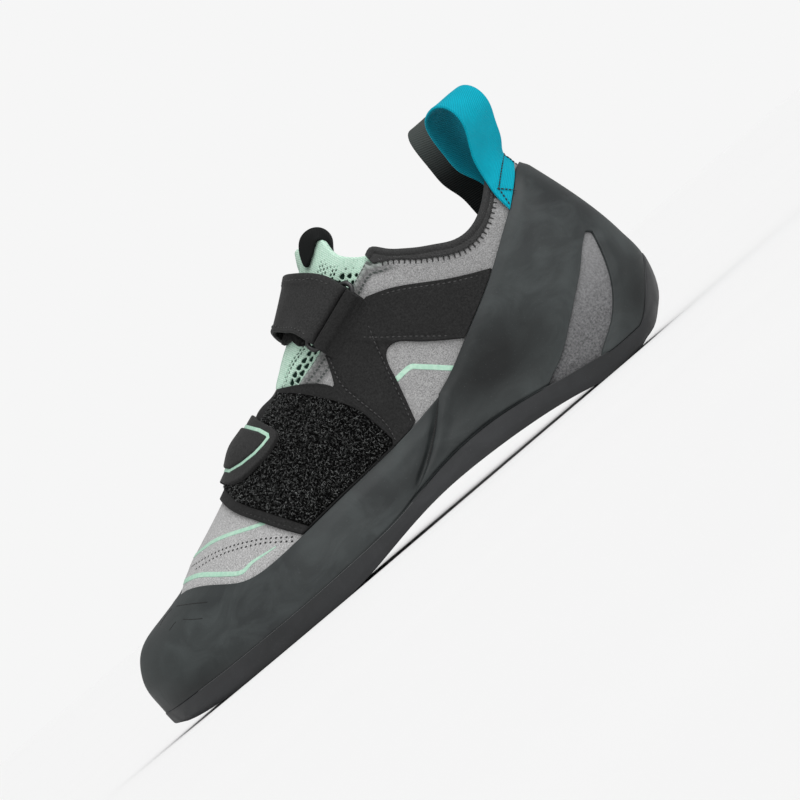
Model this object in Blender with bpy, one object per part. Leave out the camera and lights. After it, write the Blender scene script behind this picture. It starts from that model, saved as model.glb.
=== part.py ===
"""A left climbing shoe with two straps, built round one last. Sizes are in millimetres, toe to -X, outer side to -Y."""

import math

import bmesh
import bpy
import numpy as np

MM = 0.001

# The middle of the shoe's box, which the part's origin stands under
MIDDLE_X, MIDDLE_Y = 0.32, -1.15

# Thicknesses and the space left between neighbours
GAP = 0.3
WALL = 1.8
RAND = 1.7
OVERLAY = 1.1
PATCH = 1.6
STRAP = 1.6
TAB = 1.5
TONGUE = 1.7
TONGUE_SWELL = 1.9
INSOLE = 2.0
LIP = 0.8
WEBBING = 1.4
COLUMNS_A_SIDE = 28
ROWS_UP = 12

# One row for each section of the last, from the back of the heel to the toe tip, the same for both sides.
# x, outer_y, inner_y, foot_z: where the section leaves the sole
# crest_x: where it ends on the crest line; out, up: first handle from the foot; crown, drop: second handle
# ground_z, ground_out, lip_z: edge of the sole's tread, its overhang past the foot, top of the sole's side
SECTIONS = (
    # x     outer_y inner_y foot_z crest_x out   up    crown drop ground_z ground_out lip_z
    (108.2, 0.0, 0.0, 6.6, 84.0, 25.3, 24.7, 0.74, 70.0, 0.7, -11.0, 26.4),
    (102.4, -16.6, 16.6, 6.4, 84.0, 15.0, 28.5, 0.69, 58.0, 0.9, -4.0, 9.0),
    (87.0, -24.5, 24.5, 6.2, 80.5, 6.5, 34.0, 0.74, 45.0, -1.0, 1.4, 6.9),
    (70.0, -27.2, 26.0, 9.3, 69.0, 4.5, 40.0, 0.76, 30.0, 2.0, 1.8, 10.0),
    (50.0, -29.5, 26.0, 13.0, 50.0, 4.5, 45.0, 0.75, 12.0, 5.0, 1.8, 13.6),
    (30.0, -33.0, 26.8, 14.5, 30.0, 4.0, 38.0, 0.62, 3.0, 6.5, 1.8, 15.1),
    (10.0, -37.0, 29.0, 12.8, 10.0, 4.0, 32.0, 0.56, 0.5, 6.6, 1.8, 13.4),
    (-10.0, -40.5, 33.5, 9.4, -10.0, 3.5, 25.0, 0.52, 0.0, 4.3, 1.8, 10.0),
    (-30.0, -42.3, 38.0, 8.2, -30.0, 3.0, 20.0, 0.50, 0.0, 1.0, 1.8, 8.8),
    (-50.0, -41.5, 40.0, 7.7, -47.0, 3.0, 17.0, 0.50, 0.6, -0.4, 1.8, 8.3),
    (-70.0, -37.0, 39.3, 7.7, -62.0, 2.5, 15.0, 0.50, 1.8, -0.5, 1.8, 8.2),
    (-87.0, -29.0, 37.0, 7.9, -74.0, 2.3, 17.0, 0.51, 3.8, -0.3, 1.2, 8.5),
    (-101.0, -18.5, 32.5, 8.3, -81.0, 1.2, 22.0, 0.54, 6.4, 0.7, 0.0, 9.0),
    (-111.2, -5.5, 25.0, 8.8, -84.2, -0.3, 27.5, 0.59, 7.8, 1.8, -1.5, 9.5),
    (-116.6, 11.0, 11.0, 9.2, -85.0, -1.0, 30.9, 0.62, 8.6, 2.8, -2.2, 10.2),
)
FIELDS = ("x", "y", "foot_z", "crest_x", "out", "up", "crown", "drop", "ground_z", "ground_out", "lip_z")
LAST_ROW = len(SECTIONS) - 1

# The crest of the last. Past x = 40 it carries on up the shin, above the collar, so that each section closes.
CREST = (
    # x    y     z
    (-85.0, 10.5, 39.2),
    (-80.0, 9.8, 42.9),
    (-75.0, 9.2, 45.8),
    (-67.0, 8.2, 49.5),
    (-54.0, 6.8, 55.0),
    (-40.0, 5.5, 61.6),
    (-25.0, 4.5, 68.2),
    (-13.0, 4.0, 72.6),
    (0.0, 3.4, 82.4),
    (12.0, 2.8, 93.4),
    (24.0, 2.2, 105.3),
    (40.0, 1.5, 121.0),
    (60.0, 0.6, 138.0),
    (84.0, 0.0, 150.0),
)

# Edges seen from the side, as (x, z) points that a smooth curve passes through
TOE_RAND_TOP = ((-85.6, 41.0), (-82.5, 39.4), (-78, 37.1), (-72, 32.9), (-67, 29.7), (-61, 27.8), (-50, 27.3),
                (-30, 28.4), (-10, 29.6), (10, 30.8), (30.6, 33.9))
HEEL_RAND_TOP = ((31.4, 34.6), (40, 37.9), (50, 43), (60, 48), (70, 53.4), (80, 59.8), (90, 66.5), (100, 73.6),
                 (107.5, 79.6), (114, 81))
HEEL_RAND_FRONT = ((31.4, 34.6), (24.5, 27.6), (15.5, 20.2), (7, 15.2), (0, 11), (-4, 4))
WINDOW_UPPER = ((60, 8), (64, 11.9), (70, 14.7), (80, 21), (90, 28.8), (100, 36.8), (107.5, 43.6), (110, 45.2))
WINDOW_LOWER = ((111.9, 43.6), (109.6, 35.5), (105.3, 25.6), (100, 18.4), (94, 13.2), (85, 7.6), (80, 2))
THROAT = ((-24, 71), (-21, 66.3), (-8, 70), (6, 75), (20, 80), (32, 84.3), (42.5, 88.2))
COLLAR_LOW = ((42.5, 86.2), (46, 84.6), (50, 83), (55, 78.8), (60, 75.2), (65, 72.2), (70, 69.7), (75, 68.8),
              (80, 69.6), (85, 71.8), (90, 75.4), (95, 79.6), (100, 82.3), (107, 83.6), (116, 84))
COLLAR_TOP = ((43.2, 89.8), (46, 90.8), (50, 87.2), (55, 82.8), (60, 79.3), (65, 76.4), (70, 73.7), (75, 72.6),
              (80, 73.3), (85, 75.6), (90, 79.3), (95, 83.6), (100, 86), (107, 87.2), (116, 87.5))
PATCH_EDGE = ((-54, 58), (-53.2, 52), (-49, 44), (-43, 34.5), (-38.6, 28.3))
PATCH_REAR = ((8.3, 31.1), (8.6, 38), (7.4, 46), (5.6, 54), (3.8, 61.2), (-2, 67.6), (-12, 73.6))
OVERLAY_REAR_TOP = ((33.6, 78), (42, 74.9), (52, 69.1), (62, 63), (75, 56.7))
OVERLAY_NOTCH = ((51, 43.9), (44, 48.8), (36, 55.2), (30.5, 59), (27, 58.6), (25, 56), (23.4, 50), (21.4, 42),
                 (18.8, 32.6))
TAB_END = ((-50.5, 66), (-48.5, 61), (-44.5, 57.6), (-37, 58), (-29, 58.9), (-25.4, 60.6), (-22.8, 65))

OUTER, INNER = -1, 1


# Smooth curves

def closed_slopes(values):
    count = len(values)
    matrix = 4 * np.eye(count) + np.roll(np.eye(count), 1, 0) + np.roll(np.eye(count), -1, 0)
    return np.linalg.solve(matrix, 3 * (np.roll(values, -1, 0) - np.roll(values, 1, 0)))


def open_slopes(knots, values):
    count, step = len(knots), np.diff(knots)
    rise = np.diff(values, axis=0) / step[:, None]
    matrix, right = np.eye(count) * 2, np.zeros_like(values)
    matrix[0, 1] = matrix[-1, -2] = 1
    right[0], right[-1] = 3 * rise[0], 3 * rise[-1]
    for i in range(1, count - 1):
        matrix[i, i - 1], matrix[i, i], matrix[i, i + 1] = step[i], 2 * (step[i] + step[i - 1]), step[i - 1]
        right[i] = 3 * (step[i] * rise[i - 1] + step[i - 1] * rise[i])
    return np.linalg.solve(matrix, right)


def hermite(f, a, b, slope_a, slope_b):
    f = f[..., None]
    return ((1 + 2 * f) * (1 - f) ** 2 * a + f * (1 - f) ** 2 * slope_a
            + f * f * (3 - 2 * f) * b + f * f * (f - 1) * slope_b)


def through(points, steps=2):
    """A smooth run of points through the given ones."""
    values = np.array(points, float)
    knots = np.concatenate([[0], np.cumsum(np.linalg.norm(np.diff(values, axis=0), axis=1))])
    slopes = open_slopes(knots, values)
    run = []
    for i in range(len(values) - 1):
        length = knots[i + 1] - knots[i]
        for k in range(steps):
            run.append(hermite(np.array(k / steps), values[i], values[i + 1],
                               slopes[i] * length, slopes[i + 1] * length))
    return [tuple(p) for p in run] + [tuple(values[-1])]


# The last: u runs round the foot (0 heel back, LAST_ROW toe tip, then home on the inner side), t from foot to crest

def section_rows():
    outer = [(r[0], r[1]) + r[3:] for r in SECTIONS]
    inner = [(r[0], r[2]) + r[3:] for r in SECTIONS[-2:0:-1]]
    return np.array(outer + inner, float)


ROUND = section_rows()
ROUND_SLOPES = closed_slopes(ROUND)
CREST_X = np.array([row[0] for row in CREST])
CREST_YZ = np.array([row[1:] for row in CREST])
CREST_SLOPES = open_slopes(CREST_X, CREST_YZ)


def around(u):
    u = np.asarray(u, float)
    i = np.floor(u).astype(int)
    a, b = i % len(ROUND), (i + 1) % len(ROUND)
    values = hermite(u - i, ROUND[a], ROUND[b], ROUND_SLOPES[a], ROUND_SLOPES[b])
    return {name: values[..., k] for k, name in enumerate(FIELDS)}


def crest_at(x):
    x = np.clip(x, CREST_X[0], CREST_X[-1])
    i = np.clip(np.searchsorted(CREST_X, x, "right") - 1, 0, len(CREST_X) - 2)
    width = (CREST_X[i + 1] - CREST_X[i])[..., None]
    values = hermite((x - CREST_X[i]) / width[..., 0], CREST_YZ[i], CREST_YZ[i + 1],
                     CREST_SLOPES[i] * width, CREST_SLOPES[i + 1] * width)
    return values[..., 0], values[..., 1]


def last_point(u, t):
    u, t = np.broadcast_arrays(np.asarray(u, float), np.asarray(t, float))
    row = around(u)
    crest_y, crest_z = crest_at(row["crest_x"])
    away_x, away_y = row["x"] - row["crest_x"], row["y"] - crest_y
    reach = np.hypot(away_x, away_y)
    s = 1 - t
    spread = s**3 * reach + 3 * s * s * t * (reach + row["out"]) + 3 * s * t * t * row["crown"] * reach
    z = (s**3 * row["foot_z"] + 3 * s * s * t * (row["foot_z"] + row["up"])
         + 3 * s * t * t * (crest_z - row["drop"]) + t**3 * crest_z)
    return np.stack([row["crest_x"] + away_x / reach * spread, crest_y + away_y / reach * spread, z], -1)


def side_normal(u, t):
    """Square to one side of the last, turned level at the foot so that every layer stands on the sole."""
    level = np.clip(t / 0.12, 0, 1)
    t = np.clip(t, 0.01, 0.965)
    across = last_point(u + 0.02, t) - last_point(u - 0.02, t)
    rise = last_point(u, t + 0.01) - last_point(u, t - 0.01)
    normal = np.cross(rise, across)
    normal /= np.linalg.norm(normal, axis=-1, keepdims=True)
    normal[..., 2] *= level
    return normal / np.linalg.norm(normal, axis=-1, keepdims=True)


def last_normal(u, t):
    """Square to the last. On the crest it is shared by both sides."""
    u, t = np.broadcast_arrays(np.asarray(u, float), np.asarray(t, float))
    here, there = side_normal(u, t), side_normal(2 * LAST_ROW - u, t)
    share = np.where(t > 0.999, 0.5, 0.0)[..., None]
    normal = (1 - share) * here + share * there
    return normal / np.linalg.norm(normal, axis=-1, keepdims=True)


def on_last(u, t, away=0.0):
    return last_point(u, t) + last_normal(u, t) * np.asarray(away, float)[..., None]


def height_t(u, z):
    """The t at which the section u reaches the height z."""
    low, high = np.zeros(np.shape(u)), np.ones(np.shape(u))
    for _ in range(30):
        middle = (low + high) / 2
        below = last_point(u, middle)[..., 2] < z
        low, high = np.where(below, middle, low), np.where(below, high, middle)
    return (low + high) / 2


def place(x, z, side=OUTER):
    """The (u, t) of the last's point that shows at (x, z) from the side."""
    low, high = 0.0, float(LAST_ROW)
    for _ in range(40):
        u = (low + high) / 2
        full = u if side == OUTER else 2 * LAST_ROW - u
        t = height_t(np.array(full), z)
        if last_point(full, t)[0] > x:
            low = u
        else:
            high = u
    return full, float(t)


# Scene building

def fresh_scene():
    for thing in list(bpy.data.objects):
        bpy.data.objects.remove(thing)
    groups = []
    for name in ("climbing_shoe", "cutters"):
        group = bpy.data.collections.new(name)
        bpy.context.scene.collection.children.link(group)
        groups.append(group)
    return groups


PARTS, CUTTERS = fresh_scene()


def material(name, colour, roughness):
    made = bpy.data.materials.new(name)
    made.use_nodes = True
    shader = made.node_tree.nodes["Principled BSDF"]
    shader.inputs["Base Color"].default_value = (*colour, 1.0)
    shader.inputs["Roughness"].default_value = roughness
    made.diffuse_color = (*colour, 1.0)
    return made


def metres(spot):
    return (float(spot[0]) - MIDDLE_X) * MM, (float(spot[1]) - MIDDLE_Y) * MM, float(spot[2]) * MM


def mesh_object(name, points, faces, group=None, look=None):
    mesh = bpy.data.meshes.new(name)
    mesh.from_pydata([metres(p) for p in points], [], faces)
    body = bmesh.new()
    body.from_mesh(mesh)
    bmesh.ops.recalc_face_normals(body, faces=body.faces)
    body.to_mesh(mesh)
    body.free()
    thing = bpy.data.objects.new(name, mesh)
    (group or PARTS).objects.link(thing)
    if look:
        mesh.materials.append(look)
    return thing


def prism(name, outline, low_y=-90.0, high_y=90.0):
    """A cutter: the side-view outline carried across the shoe from low_y to high_y."""
    count = len(outline)
    points = [(x, low_y, z) for x, z in outline] + [(x, high_y, z) for x, z in outline]
    faces = [tuple(range(count)), tuple(range(2 * count - 1, count - 1, -1))]
    faces += [(i, (i + 1) % count, count + (i + 1) % count, count + i) for i in range(count)]
    cutter = mesh_object(name, points, faces, CUTTERS)
    cutter.hide_render = True
    cutter.display_type = "WIRE"
    return cutter


def cut(thing, cutter, operation):
    change = thing.modifiers.new(cutter.name, "BOOLEAN")
    change.operation = operation
    change.solver = "EXACT"
    change.object = cutter


def keep(thing, name, outline, low_y=-90.0, high_y=90.0):
    cut(thing, prism(name, outline, low_y, high_y), "INTERSECT")


def remove(thing, name, outline, low_y=-90.0, high_y=90.0):
    cut(thing, prism(name, outline, low_y, high_y), "DIFFERENCE")


def shell(name, near, far, look):
    """A skin over the whole last between two distances from it, open underneath."""
    n, m = COLUMNS_A_SIDE, ROWS_UP
    index, places = {}, []
    for side in (OUTER, INNER):
        for k in range(n + 1):
            for j in range(m + 1):
                key = (OUTER if k in (0, n) or j == m else side, k, j)
                if key not in index:
                    index[key] = len(places)
                    u = k * LAST_ROW / n
                    places.append((u if key[0] == OUTER else 2 * LAST_ROW - u, j / m))

    def at(side, k, j):
        return index[(OUTER if k in (0, n) or j == m else side, k, j)]

    spots = np.array(places)
    layers = []
    for away in (far, near):
        depth = away(spots[:, 0], spots[:, 1]) if callable(away) else np.full(len(spots), float(away))
        layers.append(on_last(spots[:, 0], spots[:, 1], depth))
    count = len(spots)
    faces = []
    for side in (OUTER, INNER):
        for k in range(n):
            for j in range(m):
                ring = [at(side, k, j), at(side, k + 1, j), at(side, k + 1, j + 1), at(side, k, j + 1)]
                faces.append(tuple(ring))
                faces.append(tuple(v + count for v in reversed(ring)))
            a, b = at(side, k, 0), at(side, k + 1, 0)
            faces.append((a, b, b + count, a + count))
    return mesh_object(name, np.concatenate(layers), faces, look=look)


def slab(name, top, bottom, look, closed_loop=False):
    """A closed sheet between two grids of points, rows by columns."""
    rows, cols = top.shape[:2]
    count = rows * cols
    points = np.concatenate([top.reshape(-1, 3), bottom.reshape(-1, 3)])
    faces = []
    for i in range(rows if closed_loop else rows - 1):
        for j in range(cols - 1):
            a, b = i * cols + j, ((i + 1) % rows) * cols + j
            faces += [(a, b, b + 1, a + 1), (count + a + 1, count + b + 1, count + b, count + a)]
        for j in (0, cols - 1):
            a, b = i * cols + j, ((i + 1) % rows) * cols + j
            faces.append((a, b, b + count, a + count))
    if not closed_loop:
        for i in (0, rows - 1):
            for j in range(cols - 1):
                a = i * cols + j
                faces.append((a, a + 1, a + 1 + count, a + count))
    return mesh_object(name, points, faces, look=look)


def sheet(name, middle, thickness, look):
    """A sheet of even thickness round a grid of points."""
    along, across = np.gradient(middle, axis=0), np.gradient(middle, axis=1)
    normal = np.cross(along, across)
    normal /= np.linalg.norm(normal, axis=-1, keepdims=True)
    return slab(name, middle + normal * thickness / 2, middle - normal * thickness / 2, look)


def raised(edge, by):
    return [(x, z + by) for x, z in edge]


def stretch(edge, start, end):
    """The part of a smooth edge between two x places, GAP above it, in that order."""
    run = raised(through(edge, 4), GAP + 0.1)
    inside = [p for p in run if min(start, end) < p[0] < max(start, end)]
    return inside if start < end else inside[::-1]


# Looks
RUBBER = material("rubber", (0.045, 0.052, 0.052), 0.55)
SOLE_RUBBER = material("sole_rubber", (0.05, 0.056, 0.056), 0.5)
SUEDE = material("suede", (0.38, 0.37, 0.37), 0.9)
KNIT = material("knit", (0.40, 0.70, 0.54), 0.85)
BLACK_CLOTH = material("black_cloth", (0.03, 0.03, 0.032), 0.85)
MICROFIBRE = material("microfibre", (0.035, 0.035, 0.037), 0.7)
LOOP_PILE = material("loop_pile", (0.025, 0.025, 0.027), 0.95)
BINDING = material("binding", (0.06, 0.06, 0.062), 0.8)
PLASTIC = material("black_plastic", (0.02, 0.02, 0.02), 0.35)
TEAL = material("teal_webbing", (0.01, 0.27, 0.38), 0.75)
LINING = material("lining", (0.10, 0.10, 0.105), 0.9)


# Sole: rings of points round the foot from the tread's edge up to the lip, then in over the floor

def outsole():
    n = COLUMNS_A_SIDE
    u = np.arange(2 * n) * LAST_ROW / n
    row = around(u)
    foot = last_point(u, 0)
    out = last_normal(u, 0)
    lip = np.maximum(row["lip_z"], row["foot_z"] + 0.6)
    seat = RAND + 2 * GAP + 0.05
    ground = foot + out * row["ground_out"][:, None]
    ground[:, 2] = np.maximum(row["ground_z"], 0)
    side = foot + out * (seat + LIP + 0.1)
    bevel = ground * 0.4 + side * 0.6 + out * np.clip(0.9 + 0.08 * row["ground_out"], 0.2, 1)[:, None]
    bevel[:, 2] = ground[:, 2] * 0.68 + foot[:, 2] * 0.32
    inner_t = height_t(u, lip)
    top_t = height_t(u, lip - 0.25)
    thick = np.full(2 * n, seat + LIP)
    snug = np.full(2 * n, seat)
    rings = [ground, bevel, side]
    rings += [on_last(u, top_t * f, thick) for f in (0.35, 0.7, 1.0)]
    rings += [on_last(u, inner_t * f, snug) for f in (1.0, 0.7, 0.35)]
    rings.append(foot + out * seat - np.array((0, 0, GAP)))
    faces = []
    for r in range(len(rings) - 1):
        for k in range(2 * n):
            a, b = r * 2 * n + k, r * 2 * n + (k + 1) % (2 * n)
            faces.append((a, b, b + 2 * n, a + 2 * n))
    for start in (0, (len(rings) - 1) * 2 * n):
        faces += crossing(start, n)
    return mesh_object("outsole", np.concatenate(rings), faces, look=SOLE_RUBBER)


def crossing(start, n):
    """Faces from the outer to the inner side that close a ring of 2n points."""
    faces = [(start, start + 1, start + 2 * n - 1), (start + n, start + n + 1, start + n - 1)]
    faces += [(start + k, start + k + 1, start + 2 * n - k - 1, start + 2 * n - k) for k in range(1, n - 1)]
    return faces


def insole():
    n = COLUMNS_A_SIDE
    u = np.arange(2 * n) * LAST_ROW / n
    out = last_normal(u, 0)
    edge = last_point(u, 0) - out * (WALL + 0.8)
    points = np.concatenate([edge, edge + np.array((0, 0, INSOLE))])
    faces = [(k, (k + 1) % (2 * n), 2 * n + (k + 1) % (2 * n), 2 * n + k) for k in range(2 * n)]
    faces += crossing(0, n) + crossing(2 * n, n)
    return mesh_object("insole", points, faces, look=LINING)


# Upper, its binding and tongue

def upper():
    body = shell("upper", -WALL, 0, SUEDE)
    opening = through(THROAT) + through(COLLAR_LOW) + [(130, 84), (130, 170), (-24, 170)]
    remove(body, "opening_cutter", opening)
    return body


def collar_binding():
    band = shell("collar_binding", -WALL - 0.2, 0.5, BINDING)
    low = raised(through(COLLAR_LOW), GAP)
    keep(band, "binding_cutter", low + through(COLLAR_TOP)[::-1])
    return band


def tongue_lift(u, t):
    """The tongue lies under the upper and swells out through the throat."""
    spot = last_point(u, t)
    edge_x, edge_z = np.array(THROAT).T
    f = np.clip((spot[:, 2] - np.interp(spot[:, 0], edge_x, edge_z) - 2.5) / 6, 0, 1)
    return -WALL - 0.2 - GAP + TONGUE_SWELL * f * f * (3 - 2 * f)


def tongue():
    body = shell("tongue", lambda u, t: tongue_lift(u, t) - TONGUE, tongue_lift, KNIT)
    low = through([(-32, 57.5), (-18, 60), (0, 66), (20, 73), (34, 78.5), (47, 84)])
    high = [(44, 89.2), (40, 91.8), (36.8, 94.4), (34.6, 98), (34.3, 104.8), (25, 104.6), (-32, 104.6)]
    keep(body, "tongue_cutter", low + high)
    return body


# Rubber rands

def toe_rand():
    body = shell("toe_rand", GAP, GAP + RAND, RUBBER)
    rear = [(x - 0.4, z) for x, z in through(HEEL_RAND_FRONT)]
    outline = [(-86, 70)] + through(TOE_RAND_TOP) + rear[1:] + [(-130, -6), (-130, 70)]
    keep(body, "toe_rand_cutter", outline)
    return body


def heel_rand():
    body = shell("heel_rand", GAP, GAP + RAND, RUBBER)
    outline = through(HEEL_RAND_TOP) + [(140, 81), (140, -6), (-5, -6)] + through(HEEL_RAND_FRONT)[::-1][:-1]
    keep(body, "heel_rand_cutter", outline)
    window = through(WINDOW_UPPER) + through(WINDOW_LOWER) + [(60, 2)]
    remove(body, "window_cutter_outer", window, -90, -2)
    remove(body, "window_cutter_inner", window, 2, 90)
    return body


# Fabric and fastener pieces that lie on the upper

def fastener_patch():
    body = shell("fastener_patch", GAP, GAP + PATCH, LOOP_PILE)
    outline = [(-54, 95)] + through(PATCH_EDGE) + stretch(TOE_RAND_TOP, -37.5, 7.5) + through(PATCH_REAR)
    keep(body, "patch_cutter", outline + [(-12, 95)], -90, 12)
    return body


def side_overlay_outer():
    body = shell("side_overlay_outer", GAP, GAP + OVERLAY, MICROFIBRE)
    front = [(x + 0.5, z) for x, z in through(PATCH_REAR[:5])]
    outline = through(OVERLAY_REAR_TOP) + stretch(HEEL_RAND_TOP, 74, 52) + through(OVERLAY_NOTCH)
    outline += stretch(TOE_RAND_TOP, 17.5, 9.5) + front[1:] + [(6.2, 64), (7.6, 67), (8.6, 70)]
    keep(body, "overlay_cutter_outer", outline, -90, 0)
    return body


def side_overlay_inner():
    body = shell("side_overlay_inner", GAP, GAP + OVERLAY, MICROFIBRE)
    outline = through(OVERLAY_REAR_TOP) + stretch(HEEL_RAND_TOP, 74, 37)
    outline += through([(35, 37.4), (27, 47), (18, 58), (10, 69.5)])
    keep(body, "overlay_cutter_inner", outline, 0, 90)
    return body


def strap_lift(u, t):
    """How far the lower strap runs above the last: on the inner side it comes down onto the upper."""
    f = np.clip((t - 0.4) / 0.35, 0, 1)
    f = f * f * (3 - 2 * f)
    low, high = GAP, GAP + PATCH + GAP
    return np.where(u > LAST_ROW, low + (high - low) * f, high)


def lower_strap():
    body = shell("lower_strap", strap_lift, lambda u, t: strap_lift(u, t) + STRAP, BLACK_CLOTH)
    outer = [(-50.5, 95)] + through(TAB_END) + [(-25, 71), (-25, 95)]
    foot = stretch(TOE_RAND_TOP, -42, -18)
    remove(body, "lower_strap_cutter_outer", outside(outer), -90, 5)
    keep(body, "lower_strap_cutter_inner", [(-50.5, 95), (-50.5, 63)] + foot + [(-25, 71), (-25, 95)])
    return body


def outside(outline):
    """The outline turned into a wide plate with that shape missing at its top."""
    return outline + [(-25, 96), (140, 96), (140, -10), (-140, -10), (-140, 96), (-50.5, 96)]


def strap_tab():
    lift = GAP + PATCH + GAP + STRAP + GAP
    body = shell("strap_tab", lift, lift + TAB, BLACK_CLOTH)
    outline = [(-46.2, 95)] + through([(-46.2, 63.5), (-43.6, 60.6), (-37, 60.3), (-29.5, 61), (-26.4, 62.4)])
    keep(body, "tab_cutter", outline + [(-25.6, 64), (-29, 70), (-29, 95)], -90, 6)
    return body


# Ring on the outer side, with its keeper below and the upper strap folded through it

RING_X, RING_Z = 20.3, 79.3
RING_ENDS = ((9.5, 75.6), (31.0, 83.0))
RING_HALF_LENGTH = 13.4
RING_HALF_WIDTH = 2.8
RING_WIRE = 0.9
RING_LIFT = 3.4
BAR_ROOM = 0.3
KEEPER_CLOTH = 1.2
STRAP_HALF_WIDTH = 12.0


def ring_frame():
    near, far = (on_last(*place(x, z)) for x, z in RING_ENDS)
    u, t = place(RING_X, RING_Z)
    along = (far - near) / np.linalg.norm(far - near)
    out = last_normal(u, t)
    out = out - along * out.dot(along)
    out /= np.linalg.norm(out)
    up = np.cross(along, out)
    up *= np.sign(up[2])
    return on_last(u, t), along, up, out


RING_CENTRE, RING_ALONG, RING_UP, RING_OUT = ring_frame()


def by_ring(along, up, out):
    return RING_CENTRE + RING_ALONG * along + RING_UP * up + RING_OUT * out


def strap_ring():
    curve = bpy.data.curves.new("strap_ring", "CURVE")
    curve.dimensions = "3D"
    curve.bevel_depth = RING_WIRE * MM
    curve.bevel_resolution = 1
    corner = RING_HALF_WIDTH - 0.4
    spots = []
    for sx, sy, start in ((1, -1, -90), (1, 1, 0), (-1, 1, 90), (-1, -1, 180)):
        for k in range(5):
            angle = math.radians(start + 22.5 * k)
            spots.append(by_ring(sx * (RING_HALF_LENGTH - corner) + corner * math.cos(angle),
                                 sy * (RING_HALF_WIDTH - corner) + corner * math.sin(angle), RING_LIFT))
    line = curve.splines.new("POLY")
    line.points.add(len(spots) - 1)
    for point, spot in zip(line.points, spots):
        point.co = (*metres(spot), 1.0)
    line.use_cyclic_u = True
    ring = bpy.data.objects.new("strap_ring", curve)
    PARTS.objects.link(ring)
    curve.materials.append(PLASTIC)
    return ring


def ring_keeper():
    """A strip folded round the ring's lower bar, its tail flat on the overlay."""
    hole = RING_WIRE + BAR_ROOM
    outer, inner = [], []
    for k in range(16):
        angle = math.radians(22.5 * k)
        reach = hole + KEEPER_CLOTH
        spot = [-RING_HALF_WIDTH + reach * math.cos(angle), RING_LIFT + reach * math.sin(angle)]
        if 7 <= k <= 10:
            tail = ((-7.5, 4.0), (-10.6, 3.0), (-10.6, 2.0), (-7.5, 1.9))
            spot = list(tail[k - 7])
        outer.append(spot)
        inner.append([-RING_HALF_WIDTH + hole * math.cos(angle), RING_LIFT + hole * math.sin(angle)])
    points, faces = [], []
    for end in (-STRAP_HALF_WIDTH + 0.5, STRAP_HALF_WIDTH - 0.5):
        points += [by_ring(end, *spot) for spot in outer + inner]
    for k in range(16):
        a, b = k, (k + 1) % 16
        faces += [(a, b, b + 32, a + 32), (a + 16, b + 16, b + 48, a + 48)]
        faces += [(a, b, b + 16, a + 16), (a + 32, b + 32, b + 48, a + 48)]
    return mesh_object("ring_keeper", points, faces, look=MICROFIBRE)


def upper_strap():
    """From the inner side over the tongue, round the ring's upper bar, and back over itself."""
    lines = np.linspace(-1, 1, 5) * STRAP_HALF_WIDTH
    turn = RING_WIRE + BAR_ROOM + STRAP / 2
    grid = []
    for w in lines:
        crest_x = 10.3 + 0.72 * w
        slack = 0.05 * (STRAP_HALF_WIDTH - w)
        ring_x, ring_z = RING_X + 0.93 * w, RING_Z + 0.32 * w
        outer_u, ring_t = place(ring_x, ring_z)

        def over(f, away, side):
            slant = math.hypot(f, 0.3) - 0.3
            x = crest_x + (ring_x - crest_x) * (slant / (math.hypot(1, 0.3) - 0.3) if side == OUTER else slant * 0.7)
            t = 1 - (1 - ring_t) * f
            u = place(x, 60, side)[0]
            return on_last(u, t, away)

        run = [over(f, away, INNER) for f, away in ((1.5, 3.0), (1.1, 3.0), (0.7, 2.5), (0.35, 1.9))]
        run += [over(0, 1.3, OUTER), over(0.3, 1.5, OUTER), over(0.55, 1.8, OUTER)]
        run.append(by_ring(w, 4.2, RING_LIFT - turn + 0.15))
        for k in range(7):
            angle = math.radians(-90 - 30 * k)
            run.append(by_ring(w, RING_HALF_WIDTH + turn * math.cos(angle), RING_LIFT + turn * math.sin(angle)))
        run.append(by_ring(w, 5.4, RING_LIFT + turn + 0.1))
        run += [over(0.5, 5.0, OUTER), over(0.25, 4.1 + slack, OUTER), over(0, 3.4 + slack, OUTER)]
        run += [over(f, away, INNER) for f, away in ((0.35, 4.3), (0.7, 5.0), (1.05, 5.5))]
        grid.append(run)
    return sheet("upper_strap", np.array(grid).transpose(1, 0, 2), STRAP, BLACK_CLOTH)


# Webbing loops to pull the shoe on

HEEL_LOOP_HALF_WIDTH = 8.2


def heel_loop(name, x, foot_z, side, look):
    u, t = place(x, 80, side)
    half = HEEL_LOOP_HALF_WIDTH
    width = last_point(u + 0.1, t) - last_point(u - 0.1, t)
    step = half * 0.2 / np.linalg.norm(width)
    foot = last_point(u, float(height_t(np.array(u), 86)))
    out = last_normal(u, t) * (1, 1, 0)
    out /= np.linalg.norm(out)
    across = np.array((-out[1], out[0], 0)) * (-1 if width[0] * -out[1] < 0 else 1)
    rows = []

    def sewn(z, slope, away):
        spots = []
        for f in (-1, 0, 1):
            here = u + f * step
            there = z + slope * (last_point(here, t)[0] - x)
            spots.append(on_last(here, float(height_t(np.array(here), there)), away))
        return spots

    for z, slope, away in ((foot_z, 0.85, 1.5), (foot_z + 4.5, 0.5, 1.6), (84, 0.15, 1.9)):
        rows.append(sewn(z, slope, away))
    for away, z in ((3.8, 90), (8.6, 97), (12.2, 103.5), (11.7, 109), (7.4, 113), (1.2, 113.4), (-3.6, 111.2),
                    (-5.8, 106), (-6.4, 98), (-6, 91)):
        rows.append([foot + out * away + across * half * f + np.array((0, 0, z - foot[2])) for f in (-1, 0, 1)])
    rows += [sewn(84, 0, -4.0), sewn(78, 0, -3.8)]
    lines = [through([row[j] for row in rows], 2) for j in range(3)]
    return sheet(name, np.array(lines).transpose(1, 0, 2), WEBBING, look)


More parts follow.
